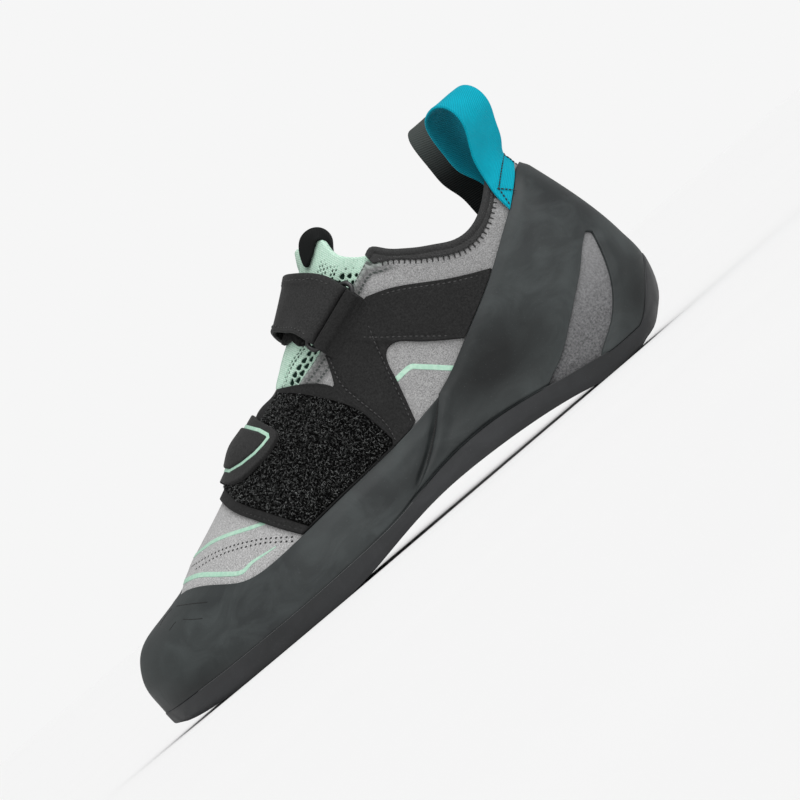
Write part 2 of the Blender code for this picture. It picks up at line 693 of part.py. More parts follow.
def tongue_loop():
    """A ribbon from the tongue's outer face over its top edge and down inside."""
    rows = []
    for z, spots in ((101.4, (23.2, 25.2, 27.6)), (103.4, (24.4, 26.2, 28.6))):
        rows.append([on_last(*place(x, z), 0.7) for x in spots])
    for x, z in ((26.6, 107), (29.4, 109.2), (33, 109.5), (36.2, 107.5), (37.6, 104), (36.3, 100.2), (33.2, 96)):
        spread = 0.9 if z > 100 else 0.3
        lean = np.array((x - 32, 0, z - 101))
        lean = lean / np.linalg.norm(lean) * spread
        rows.append([np.array((x, y, z)) + lean * side for y, side in ((-3.2, -1), (-7.1, 0), (-11, 1))])
    lines = [through([row[j] for row in rows], 2) for j in range(3)]
    return sheet("tongue_loop", np.array(lines).transpose(1, 0, 2), WEBBING, BLACK_CLOTH)


outsole()
insole()
upper()
collar_binding()
tongue()
tongue_loop()
toe_rand()
heel_rand()
fastener_patch()
side_overlay_outer()
side_overlay_inner()
lower_strap()
strap_tab()
strap_ring()
ring_keeper()
upper_strap()
heel_loop("heel_loop_outer", 99.8, 75.4, OUTER, TEAL)
heel_loop("heel_loop_inner", 92.0, 70.0, INNER, BLACK_CLOTH)
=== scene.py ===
"""Looks of the climbing shoe: fine skins over the last that its solids follow, seams, pile, knit and webbing.
Sizes are in millimetres, toe to -X and outer side to -Y, until metres() places them in the row frame."""

import math

import bmesh
import bpy
import numpy as np
from mathutils import Matrix, kdtree


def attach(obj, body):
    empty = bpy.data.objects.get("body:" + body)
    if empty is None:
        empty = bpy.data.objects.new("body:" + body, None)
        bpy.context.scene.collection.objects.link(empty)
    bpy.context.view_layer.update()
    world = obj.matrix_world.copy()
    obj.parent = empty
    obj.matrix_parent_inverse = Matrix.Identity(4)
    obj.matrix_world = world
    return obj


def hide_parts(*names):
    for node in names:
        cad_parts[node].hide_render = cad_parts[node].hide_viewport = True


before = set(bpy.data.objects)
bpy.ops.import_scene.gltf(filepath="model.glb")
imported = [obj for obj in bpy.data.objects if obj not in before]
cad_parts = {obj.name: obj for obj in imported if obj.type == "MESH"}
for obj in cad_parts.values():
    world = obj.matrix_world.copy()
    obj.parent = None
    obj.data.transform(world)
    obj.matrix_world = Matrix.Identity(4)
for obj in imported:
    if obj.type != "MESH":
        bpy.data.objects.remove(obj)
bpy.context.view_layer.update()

MM = 0.001
MIDDLE = np.array((0.32, -1.15, 0.0))
OUTER, INNER = -1, 1

# Thicknesses, as in the solids
GAP = 0.3
WALL = 1.8
RAND = 1.7
OVERLAY = 1.1
STRAP = 1.6
TONGUE_SWELL = 1.9
LIP = 0.8
WEBBING = 1.4

# One row for each section of the last, from the back of the heel to the toe tip, the same for both sides.
# x, outer_y, inner_y, foot_z: where the section leaves the sole
# crest_x: where it ends on the crest line; out, up: first handle from the foot; crown, drop: second handle
# ground_z, ground_out, lip_z: edge of the sole's tread, its overhang past the foot, top of the sole's side
SECTIONS = (
    # x     outer_y inner_y foot_z crest_x out   up    crown drop ground_z ground_out lip_z
    (108.2, 0.0, 0.0, 6.6, 84.0, 25.3, 24.7, 0.74, 70.0, 0.7, -11.0, 26.4),
    (102.4, -16.6, 16.6, 6.4, 84.0, 15.0, 28.5, 0.69, 58.0, 0.9, -4.0, 9.0),
    (87.0, -24.5, 24.5, 6.2, 80.5, 6.5, 34.0, 0.74, 45.0, -1.0, 1.4, 6.9),
    (70.0, -27.2, 26.0, 9.3, 69.0, 4.5, 40.0, 0.76, 30.0, 2.0, 1.8, 10.0),
    (50.0, -29.5, 26.0, 13.0, 50.0, 4.5, 45.0, 0.75, 12.0, 5.0, 1.8, 13.6),
    (30.0, -33.0, 26.8, 14.5, 30.0, 4.0, 38.0, 0.62, 3.0, 6.5, 1.8, 15.1),
    (10.0, -37.0, 29.0, 12.8, 10.0, 4.0, 32.0, 0.56, 0.5, 6.6, 1.8, 13.4),
    (-10.0, -40.5, 33.5, 9.4, -10.0, 3.5, 25.0, 0.52, 0.0, 4.3, 1.8, 10.0),
    (-30.0, -42.3, 38.0, 8.2, -30.0, 3.0, 20.0, 0.50, 0.0, 1.0, 1.8, 8.8),
    (-50.0, -41.5, 40.0, 7.7, -47.0, 3.0, 17.0, 0.50, 0.6, -0.4, 1.8, 8.3),
    (-70.0, -37.0, 39.3, 7.7, -62.0, 2.5, 15.0, 0.50, 1.8, -0.5, 1.8, 8.2),
    (-87.0, -29.0, 37.0, 7.9, -74.0, 2.3, 17.0, 0.51, 3.8, -0.3, 1.2, 8.5),
    (-101.0, -18.5, 32.5, 8.3, -81.0, 1.2, 22.0, 0.54, 6.4, 0.7, 0.0, 9.0),
    (-111.2, -5.5, 25.0, 8.8, -84.2, -0.3, 27.5, 0.59, 7.8, 1.8, -1.5, 9.5),
    (-116.6, 11.0, 11.0, 9.2, -85.0, -1.0, 30.9, 0.62, 8.6, 2.8, -2.2, 10.2),
)
FIELDS = ("x", "y", "foot_z", "crest_x", "out", "up", "crown", "drop", "ground_z", "ground_out", "lip_z")
LAST_ROW = len(SECTIONS) - 1

CREST = (
    # x    y     z
    (-85.0, 10.5, 39.2),
    (-80.0, 9.8, 42.9),
    (-75.0, 9.2, 45.8),
    (-67.0, 8.2, 49.5),
    (-54.0, 6.8, 55.0),
    (-40.0, 5.5, 61.6),
    (-25.0, 4.5, 68.2),
    (-13.0, 4.0, 72.6),
    (0.0, 3.4, 82.4),
    (12.0, 2.8, 93.4),
    (24.0, 2.2, 105.3),
    (40.0, 1.5, 121.0),
    (60.0, 0.6, 138.0),
    (84.0, 0.0, 150.0),
)

# Edges seen from the side, as (x, z) points that a smooth curve passes through
TOE_RAND_TOP = ((-85.6, 41.0), (-82.5, 39.4), (-78, 37.1), (-72, 32.9), (-67, 29.7), (-61, 27.8), (-50, 27.3),
                (-30, 28.4), (-10, 29.6), (10, 30.8), (30.6, 33.9))
HEEL_RAND_TOP = ((31.4, 34.6), (40, 37.9), (50, 43), (60, 48), (70, 53.4), (80, 59.8), (90, 66.5),
                 (100, 73.6), (107.5, 79.6), (114, 81))
HEEL_RAND_FRONT = ((31.4, 34.6), (24.5, 27.6), (15.5, 20.2), (7, 15.2), (0, 11), (-4, 4))
WINDOW_UPPER = ((60, 8), (64, 11.9), (70, 14.7), (80, 21), (90, 28.8), (100, 36.8), (107.5, 43.6),
                (110, 45.2))
WINDOW_LOWER = ((111.9, 43.6), (109.6, 35.5), (105.3, 25.6), (100, 18.4), (94, 13.2), (85, 7.6), (80, 2))
THROAT = ((-24, 71), (-21, 66.3), (-8, 69), (6, 73.1), (20, 79), (32, 84.2), (42.5, 88.2))
COLLAR_LOW = ((42.5, 86.2), (46, 84.6), (50, 83), (55, 78.8), (60, 75.2), (65, 72.2), (70, 69.7), (75, 68.8),
              (80, 69.6), (85, 71.8), (90, 75.4), (95, 79.6), (100, 82.3), (107, 83.6), (116, 84))
COLLAR_TOP = ((43.2, 89.8), (46, 90.8), (50, 87.2), (55, 82.8), (60, 79.3), (65, 76.4), (70, 73.7),
              (75, 72.6), (80, 73.3), (85, 75.6), (90, 79.3), (95, 83.6), (100, 86), (107, 87.2), (116, 87.5))
PATCH_EDGE = ((-54, 58), (-53.2, 52), (-49, 44), (-43, 34.5), (-38.6, 28.3))
PATCH_REAR = ((8.3, 31.1), (8.6, 38), (7.4, 46), (5.6, 54), (3.8, 61.2), (-2, 67.6), (-12, 73.6))
OVERLAY_REAR_TOP = ((33.6, 78), (42, 74.9), (52, 69.1), (62, 63), (75, 56.7))
OVERLAY_NOTCH = ((51, 43.9), (44, 48.8), (36, 55.2), (30.5, 59), (27, 58.6), (25, 56), (23.4, 50), (21.4, 42),
                 (18.8, 32.6))
TAB_END = ((-50.5, 66), (-49.3, 61), (-45.5, 58.2), (-41.8, 57.5), (-35.5, 57.8), (-29.5, 58.4),
           (-25.5, 59.7), (-22.8, 61.2), (-22.2, 63), (-23.2, 66))

# Edges that only the finish shows
BINDING_FOOT = ((43.2, 85.6), (46, 84), (50, 81.6), (55, 77.4), (60, 73.9), (65, 70.8), (70, 68.6),
                (75, 67.8), (80, 68.5), (85, 70.6), (90, 74.1), (95, 78.4), (100, 81.2), (107, 82.6),
                (116, 83))
PILE_FRONT = ((-50, 58), (-49.3, 53), (-45, 45), (-39, 35.6), (-34.6, 28.6))
PILE_REAR = ((8.2, 33), (7, 42), (5, 50), (1, 57), (-3, 62.2), (-8, 68), (-13, 72.5))
TOE_RAND_SHOULDER = ((-91, 41.4), (-88, 40.2), (-85, 40.1), (-82.5, 39.5), (-80, 38.4), (-75, 35.3),
                     (-70, 31.6), (-67, 29.7), (-61, 27.8), (-50, 27.3), (-30, 28.4), (-10, 29.6), (10, 30.8),
                     (30.6, 33.9))
TAB_PANEL = ((-46, 95), (-46, 65), (-43.8, 62.9), (-39, 62.1), (-33, 61.9), (-28.8, 62.4), (-26.5, 62.9),
             (-26.1, 63.7), (-27.4, 66.6), (-31.6, 72.4), (-31.6, 95))
TAB_LINE = ((-47.6, 66), (-46.2, 64.2), (-44.2, 62.2), (-39, 61.3), (-33, 61.1), (-28.6, 61.6), (-25.7, 62.2),
            (-25.2, 63.2), (-26.5, 66.4), (-30.6, 72))

# Mint lines on the suede: x, z and width
TOE_LINE_UPPER = ((-78, 45.6, 1.7), (-74, 46.3, 1.7), (-70, 46.6, 1.7), (-65, 46.2, 1.8), (-60, 44.9, 1.8),
                  (-55, 43, 1.7), (-50, 41, 1.6), (-46, 39.6, 1.6))
TOE_LINE_LOWER = ((-88, 41.2, 2.2), (-84.5, 41.4, 2.2), (-80, 41, 2.2), (-76, 39.7, 2.1), (-72, 37, 2.0),
                  (-68, 34, 1.9), (-64.6, 31.7, 1.8), (-63.2, 31.3, 1.8), (-60, 31.6, 1.5), (-55, 31.3, 1.0),
                  (-48.5, 30.5, 0.45))
SIDE_LINE = ((21.5, 48.2, 1.9), (24, 48.3, 1.9), (27, 48.5, 1.9), (29.3, 48.4, 1.9), (30.4, 48, 1.9),
             (31.3, 47.2, 1.9), (34, 44.7, 1.9), (38, 41, 1.9), (42.5, 36.8, 1.9))
PINHOLE_LINE = ((-76.6, 43.2), (-73, 43), (-66, 41.8), (-61, 40.1), (-57, 38.3), (-53, 36.3), (-50, 34.6),
                (-46.5, 32), (-44, 30.2), (-42.2, 28.8))


# Smooth curves

def ease(f):
    f = np.clip(f, 0, 1)
    return f * f * (3 - 2 * f)


def hump(distance, width):
    return np.exp(-(np.asarray(distance) / width) ** 2)


def closed_slopes(values):
    count = len(values)
    matrix = 4 * np.eye(count) + np.roll(np.eye(count), 1, 0) + np.roll(np.eye(count), -1, 0)
    return np.linalg.solve(matrix, 3 * (np.roll(values, -1, 0) - np.roll(values, 1, 0)))


def open_slopes(knots, values):
    count, step = len(knots), np.diff(knots)
    rise = np.diff(values, axis=0) / step[:, None]
    matrix, right = np.eye(count) * 2, np.zeros_like(values)
    matrix[0, 1] = matrix[-1, -2] = 1
    right[0], right[-1] = 3 * rise[0], 3 * rise[-1]
    for i in range(1, count - 1):
        matrix[i, i - 1], matrix[i, i], matrix[i, i + 1] = step[i], 2 * (step[i] + step[i - 1]), step[i - 1]
        right[i] = 3 * (step[i] * rise[i - 1] + step[i - 1] * rise[i])
    return np.linalg.solve(matrix, right)


def hermite(f, a, b, slope_a, slope_b):
    f = f[..., None]
    return ((1 + 2 * f) * (1 - f) ** 2 * a + f * (1 - f) ** 2 * slope_a
            + f * f * (3 - 2 * f) * b + f * f * (f - 1) * slope_b)


def smooth_run(points, count, even=False):
    """That many points along the smooth curve through the given ones. Even: one knot a point, for grids."""
    values = np.array(points, float).reshape(len(points), -1)
    if even:
        knots = np.arange(len(values), dtype=float)
    else:
        knots = np.concatenate([[0], np.cumsum(np.linalg.norm(np.diff(values, axis=0), axis=1))])
    slopes = open_slopes(knots, values)
    at = np.linspace(0, knots[-1], count)
    i = np.clip(np.searchsorted(knots, at, "right") - 1, 0, len(knots) - 2)
    width = (knots[i + 1] - knots[i])[:, None]
    run = hermite((at - knots[i]) / width[:, 0], values[i], values[i + 1], slopes[i] * width,
                  slopes[i + 1] * width)
    return run.reshape((count,) + np.shape(points)[1:])


def through(points, steps=4):
    return [tuple(p) for p in smooth_run(points, steps * (len(points) - 1) + 1)]


# The last: u runs round the foot (0 heel back, LAST_ROW toe tip, then home inside), t from foot to crest

def section_rows():
    outer = [(r[0], r[1]) + r[3:] for r in SECTIONS]
    inner = [(r[0], r[2]) + r[3:] for r in SECTIONS[-2:0:-1]]
    return np.array(outer + inner, float)


ROUND = section_rows()
ROUND_SLOPES = closed_slopes(ROUND)
CREST_X = np.array([row[0] for row in CREST])
CREST_YZ = np.array([row[1:] for row in CREST])
CREST_SLOPES = open_slopes(CREST_X, CREST_YZ)
CREST_BLUR = ((-2, 0.12), (-1, 0.22), (0, 0.32), (1, 0.22), (2, 0.12))
CREST_BLUR_STEP = 0.03


def around(u):
    u = np.asarray(u, float)
    i = np.floor(u).astype(int)
    a, b = i % len(ROUND), (i + 1) % len(ROUND)
    values = hermite(u - i, ROUND[a], ROUND[b], ROUND_SLOPES[a], ROUND_SLOPES[b])
    return {name: values[..., k] for k, name in enumerate(FIELDS)}


def crest_at(x):
    x = np.clip(x, CREST_X[0], CREST_X[-1])
    i = np.clip(np.searchsorted(CREST_X, x, "right") - 1, 0, len(CREST_X) - 2)
    width = (CREST_X[i + 1] - CREST_X[i])[..., None]
    values = hermite((x - CREST_X[i]) / width[..., 0], CREST_YZ[i], CREST_YZ[i + 1],
                     CREST_SLOPES[i] * width, CREST_SLOPES[i + 1] * width)
    return values[..., 0], values[..., 1]


def section_point(u, t):
    row = around(u)
    crest_y, crest_z = crest_at(row["crest_x"])
    away_x, away_y = row["x"] - row["crest_x"], row["y"] - crest_y
    reach = np.hypot(away_x, away_y)
    s = 1 - t
    spread = s**3 * reach + 3 * s * s * t * (reach + row["out"]) + 3 * s * t * t * row["crown"] * reach
    z = (s**3 * row["foot_z"] + 3 * s * s * t * (row["foot_z"] + row["up"])
         + 3 * s * t * t * (crest_z - row["drop"]) + t**3 * crest_z)
    return np.stack([row["crest_x"] + away_x / reach * spread, crest_y + away_y / reach * spread, z], -1)


def last_point(u, t):
    """The last, with its crest rounded over from one side to the other."""
    u, t = np.broadcast_arrays(np.asarray(u, float), np.asarray(t, float))
    spot = section_point(u, t)
    share = ease((t - 0.82) / 0.18)
    if not share.any():
        return spot
    mean = np.zeros_like(spot)
    for step, weight in CREST_BLUR:
        s = t + CREST_BLUR_STEP * step
        mean += weight * section_point(np.where(s > 1, 2 * LAST_ROW - u, u), np.where(s > 1, 2 - s, s))
    return spot + share[..., None] * (mean - spot)


def side_normal(u, t):
    """Square to one side of the last, turned level at the foot so that every layer stands on the sole."""
    level = np.clip(t / 0.12, 0, 1)
    t = np.clip(t, 0.01, 0.965)
    across = last_point(u + 0.02, t) - last_point(u - 0.02, t)
    rise = last_point(u, t + 0.01) - last_point(u, t - 0.01)
    normal = np.cross(rise, across)
    normal /= np.linalg.norm(normal, axis=-1, keepdims=True)
    normal[..., 2] *= level
    return normal / np.linalg.norm(normal, axis=-1, keepdims=True)


def last_normal(u, t):
    """Square to the last. Towards the crest it is shared by both sides."""
    u, t = np.broadcast_arrays(np.asarray(u, float), np.asarray(t, float))
    here, there = side_normal(u, t), side_normal(2 * LAST_ROW - u, t)
    share = 0.5 * ease((t - 0.93) / 0.07)[..., None]
    normal = (1 - share) * here + share * there
    return normal / np.linalg.norm(normal, axis=-1, keepdims=True)


def on_last(u, t, away=0.0):
    return last_point(u, t) + last_normal(u, t) * np.asarray(away, float)[..., None]


def height_t(u, z):
    """The t at which the section u reaches the height z."""
    low, high = np.zeros(np.shape(u)), np.ones(np.shape(u))
    for _ in range(26):
        middle = (low + high) / 2
        below = last_point(u, middle)[..., 2] < z
        low, high = np.where(below, middle, low), np.where(below, high, middle)
    return (low + high) / 2


def place(x, z, side=OUTER):
    """The (u, t) of the last's point that shows at (x, z) from the side."""
    low, high = 0.0, float(LAST_ROW)
    for _ in range(26):
        u = (low + high) / 2
        full = u if side == OUTER else 2 * LAST_ROW - u
        t = height_t(np.array(full), z)
        if last_point(full, t)[0] > x:
            low = u
        else:
            high = u
    return full, float(t)


# Skins: triangles on the last that are cut along lines on it

def cell_corners(index):
    """The four corners of each cell in a grid of point numbers, in order round the cell."""
    return [grid.ravel() for grid in (index[:-1, :-1], index[1:, :-1], index[1:, 1:], index[:-1, 1:])]


class Skin:
    """Triangles on the last. Each point keeps its place (u, t), its spot and the direction square to it."""

    def __init__(self, places, tris, sides, spots=None, normals=None):
        self.places, self.tris, self.sides = places, tris, sides
        self.spots = last_point(*places.T) if spots is None else spots
        self.normals = last_normal(*places.T) if normals is None else normals

    def part(self, kept):
        used, index = np.unique(self.tris[kept], return_inverse=True)
        return Skin(self.places[used], index.reshape(-1, 3), self.sides[kept], self.spots[used],
                    self.normals[used])

    def with_points(self, fresh, tris, sides):
        return Skin(np.concatenate([self.places, fresh]), tris, sides,
                    np.concatenate([self.spots, last_point(*fresh.T)]),
                    np.concatenate([self.normals, last_normal(*fresh.T)]))

    def between(self, first, second, share, side):
        """Places on the edges first-second, read on the side that their triangle lies on."""
        ends = []
        for point in (first, second):
            u, t = self.places[point].T
            other = np.where(side < 0, u > LAST_ROW, u < LAST_ROW)
            ends.append(np.column_stack([np.where(other, 2 * LAST_ROW - u, u), t]))
        return ends[0] + (ends[1] - ends[0]) * np.asarray(share)[..., None]

    def edge_points(self, first, second, side):
        low, high = np.minimum(first, second), np.maximum(first, second)
        _, where, index = np.unique(low * len(self.places) + high, return_index=True, return_inverse=True)
        return low[where], high[where], side[where], index.reshape(-1)

    def quartered(self):
        a, b, c = self.tris.T
        i, j, side, index = self.edge_points(np.concatenate([a, b, c]), np.concatenate([b, c, a]),
                                             np.tile(self.sides, 3))
        ab, bc, ca = (index + len(self.places)).reshape(3, -1)
        tris = np.concatenate([np.column_stack(t) for t in ((a, ab, ca), (ab, b, bc), (ca, bc, c),
                                                            (ab, bc, ca))])
        return self.with_points(self.between(i, j, np.full(len(i), 0.5), side), tris, np.tile(self.sides, 4))

    def split(self, values, level):
        """Cuts the triangles where the values reach the level."""
        above = values[self.tris] > level
        count = above.sum(1)
        mixed = (count == 1) | (count == 2)
        if not mixed.any():
            return self, values
        lone = np.where(count == 1, above.argmax(1), (~above).argmax(1))[mixed]
        tri, side, row = self.tris[mixed], self.sides[mixed], np.arange(mixed.sum())
        a, b, c = tri[row, lone], tri[row, (lone + 1) % 3], tri[row, (lone + 2) % 3]
        i, j, on, index = self.edge_points(np.concatenate([a, a]), np.concatenate([b, c]), np.tile(side, 2))
        share = np.clip((level - values[i]) / (values[j] - values[i]), 0.03, 0.97)
        p, q = (index + len(self.places)).reshape(2, -1)
        tris = np.concatenate([self.tris[~mixed]] + [np.column_stack(t) for t in ((a, p, q), (p, b, c),
                                                                                  (p, c, q))])
        sides = np.concatenate([self.sides[~mixed], np.tile(side, 3)])
        return self.with_points(self.between(i, j, share, on), tris, sides), \
            np.concatenate([values, np.full(len(i), level)])


def bare_skin(columns=230, rows=100):
    k, j = np.meshgrid(np.arange(columns + 1), np.arange(rows + 1), indexing="ij")
    outer = k * (rows + 1) + j
    shared = (k == 0) | (k == columns) | (j == rows)
    inner = np.where(shared, outer, (columns + 1) * (rows + 1) + (k - 1) * rows + j)
    u, t = k * LAST_ROW / columns, j / rows
    places = np.zeros((inner.max() + 1, 2))
    places[inner] = np.stack([2 * LAST_ROW - u, t], -1)
    places[outer] = np.stack([u, t], -1)
    tris, sides = [], []
    for index, side in ((outer, OUTER), (inner, INNER)):
        a, b, c, d = cell_corners(index)
        if side == OUTER:
            b, d = d, b
        tris += [np.column_stack([a, b, c]), np.column_stack([a, c, d])]
        sides.append(np.full(2 * len(a), side))
    return Skin(places, np.concatenate(tris), np.concatenate(sides))


BARE = bare_skin()


# Distances on the skin, in millimetres, from lines seen from the side

def nearest(line, spots, normals, closed=False):
    """Distance on the surface from a side-view line, how far along it, and if a closed line goes round."""
    start = np.asarray(line, float)[:, :2]
    end = np.roll(start, -1, 0) if closed else start[1:]
    start = start if closed else start[:-1]
    flat = spots[:, (0, 2)]
    best, along = np.full(len(flat), 1e9), np.zeros(len(flat))
    pull, within = np.zeros((len(flat), 2)), np.zeros(len(flat), bool)
    passed = 0.0
    for a, b in zip(start, end):
        leg = b - a
        length = np.hypot(*leg)
        if length < 1e-9:
            continue
        f = np.clip((flat - a) @ leg / length**2, 0, 1)
        gap = flat - a - f[:, None] * leg
        square = (gap * gap).sum(1)
        closer = square < best
        best[closer], along[closer], pull[closer] = square[closer], passed + f[closer] * length, gap[closer]
        passed += length
        if closed and a[1] != b[1]:
            over = (a[1] > flat[:, 1]) != (b[1] > flat[:, 1])
            within ^= over & (flat[:, 0] < leg[0] * (flat[:, 1] - a[1]) / leg[1] + a[0])
    distance = np.sqrt(best)
    lean = (pull * normals[:, (0, 2)]).sum(1) / np.maximum(distance, 1e-6)
    return distance / np.sqrt(np.clip(1 - lean * lean, 0.15, 1)), along, within


def inside(outline):
    def field(spots, normals):
        distance, _, within = nearest(outline, spots, normals, True)
        return np.where(within, distance, -distance)
    return field


def beyond(field):
    return lambda spots, normals: -field(spots, normals)


def both(*fields):
    return lambda spots, normals: np.minimum.reduce([field(spots, normals) for field in fields])


def on_side(side, limit=0.0):
    return lambda spots, normals: side * (spots[:, 1] - limit)


def stroke(line, side=OUTER, smooth=True):
    """Inside of a line with a width at each of its points."""
    line = np.array(through(line, 6) if smooth else line)
    lengths = np.concatenate([[0], np.cumsum(np.linalg.norm(np.diff(line[:, :2], axis=0), axis=1))])

    def field(spots, normals):
        distance, along, _ = nearest(line, spots, normals)
        value = np.interp(along, lengths, line[:, 2]) / 2 - distance
        return np.where(normals[:, 1] * side > -0.6, value, -9.0)
    return field


def thinned(field, start, end):
    """A stroke that runs out to a point between two places across the shoe."""
    return lambda spots, normals: field(spots, normals) - 1.3 * ease((spots[:, 1] - start) / (end - start))


def trough(line, depth, width, side=OUTER):
    """A soft groove along a line, or a ridge where the depth is negative."""
    line = through(line, 6)

    def relief(spots, normals):
        distance, along, _ = nearest(line, spots, normals)
        total = sum(math.dist(a, b) for a, b in zip(line, line[1:]))
        fade = ease(along / (0.25 * total)) * ease((total - along) / (0.25 * total))
        return np.where(normals[:, 1] * side > -0.3, -depth * fade * hump(distance, width), 0)
    return relief


def face_of(skin, height):
    return skin.spots + skin.normals * amount(height, skin)[:, None]


def trimmed(field, fine=0, levels=(0.0,), reach=2.5, height=0.0, cuts=()):
    """The skin where the field, read at a height above the last, is positive. It is cut along levels of the
    field and of other functions of u and t, and comes with the field at its points."""
    def read(skin):
        return field(face_of(skin, height), skin.normals)

    skin = BARE
    values = read(skin)
    skin = skin.part((values[skin.tris] > -reach).any(1))
    for k in range(fine):
        skin = skin.quartered()
        values = read(skin)
        skin = skin.part((values[skin.tris] > -reach / 2 ** (k + 1)).any(1))
    for function, marks in cuts:
        values = function(*skin.places.T)
        for mark in marks:
            skin, values = skin.split(values, mark)
    values = read(skin)
    for level in levels:
        skin, values = skin.split(values, level)
    kept = (values[skin.tris] > -1e-6).all(1)
    used = np.unique(skin.tris[kept])
    return skin.part(kept), values[used]


# Pieces

def metres(spots):
    return (np.asarray(spots, float) - MIDDLE) * MM


def spared(piece, kept=15000, share=0.3):
    """A large piece keeps so many triangles and a share of the rest, fewest where it is nearly flat."""
    dense = piece.data
    dense.calc_loop_triangles()
    count = len(dense.loop_triangles)
    if count > kept:
        change = piece.modifiers.new("spared", "DECIMATE")
        change.ratio = (kept + share * (count - kept)) / count
        bpy.context.view_layer.update()
        graph = bpy.context.evaluated_depsgraph_get()
        piece.data = bpy.data.meshes.new_from_object(piece.evaluated_get(graph))
        piece.modifiers.clear()
        bpy.data.meshes.remove(dense)
        piece.data.name = piece.name


def mesh_piece(name, spots, faces, looks, look_of_face=None, numbers=None, sharp=50.0):
    mesh = bpy.data.meshes.new(name)
    mesh.from_pydata(metres(spots).tolist(), [], faces)
    for look in looks:
        mesh.materials.append(look)
    if look_of_face is not None:
        mesh.polygons.foreach_set("material_index", np.asarray(look_of_face, np.int32))
    for key, values in (numbers or {}).items():
        mesh.attributes.new(key, "FLOAT", "POINT").data.foreach_set("value", np.asarray(values, np.float32))
    piece = bpy.data.objects.new(name, mesh)
    bpy.context.scene.collection.objects.link(piece)
    spared(piece)
    piece.data.shade_smooth()
    piece.data.set_sharp_from_angle(angle=math.radians(sharp))
    piece.data.update()
    return piece


def fitted(piece, slot, *nodes):
    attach(piece, "root")
    if nodes:
        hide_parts(*nodes)
    return piece


def solid(name, outer, inner, tris, looks, numbers=None, sharp=50.0):
    """A closed piece between two layers of points that share their triangles."""
    count = len(outer)
    edges = np.concatenate([tris[:, [0, 1]], tris[:, [1, 2]], tris[:, [2, 0]]])
    ends = np.sort(edges, 1)
    _, where, times = np.unique(ends[:, 0] * count + ends[:, 1], return_index=True, return_counts=True)
    rim = edges[where[times == 1]]
    walls = np.column_stack([rim[:, 1], rim[:, 0], rim[:, 0] + count, rim[:, 1] + count])
    faces = tris.tolist() + (tris[:, ::-1] + count).tolist() + walls.tolist()
    look_of_face = np.repeat([0, len(looks) - 1, 0], [len(tris), len(tris), len(walls)])
    numbers = {key: np.tile(values, 2) for key, values in (numbers or {}).items()}
    return mesh_piece(name, np.concatenate([outer, inner]), faces, looks, look_of_face, numbers, sharp)


def amount(value, skin):
    return value(*skin.places.T) if callable(value) else np.full(len(skin.spots), float(value))


def rounded(d, edge):
    """How far a rounded edge lies below the face at a distance d from it."""
    return edge - np.sqrt(np.maximum(edge**2 - (edge - np.clip(d, 0, edge)) ** 2, 0))


def layer(name, looks, field, low, high, edge=0.6, fine=1, reliefs=(), taper=0.0, taper_width=6.0, cuts=()):
    """A sheet lying on the last between two heights, with a rounded edge and soft relief on its face."""
    skin, d = trimmed(field, fine, [edge * f for f in (0.0, 0.08, 0.3, 0.62, 1.0)], height=high, cuts=cuts)
    top = amount(high, skin) - taper * (1 - ease(d / taper_width)) - rounded(d, edge)
    face = face_of(skin, high)
    for relief in reliefs:
        top = top + relief(face, skin.normals)
    bottom = amount(low, skin)
    top = np.maximum(top, bottom + 0.05)
    outer = skin.spots + skin.normals * top[:, None]
    inner = skin.spots + skin.normals * bottom[:, None]
    return solid(name, outer, inner, skin.tris, looks, {"edge": d})


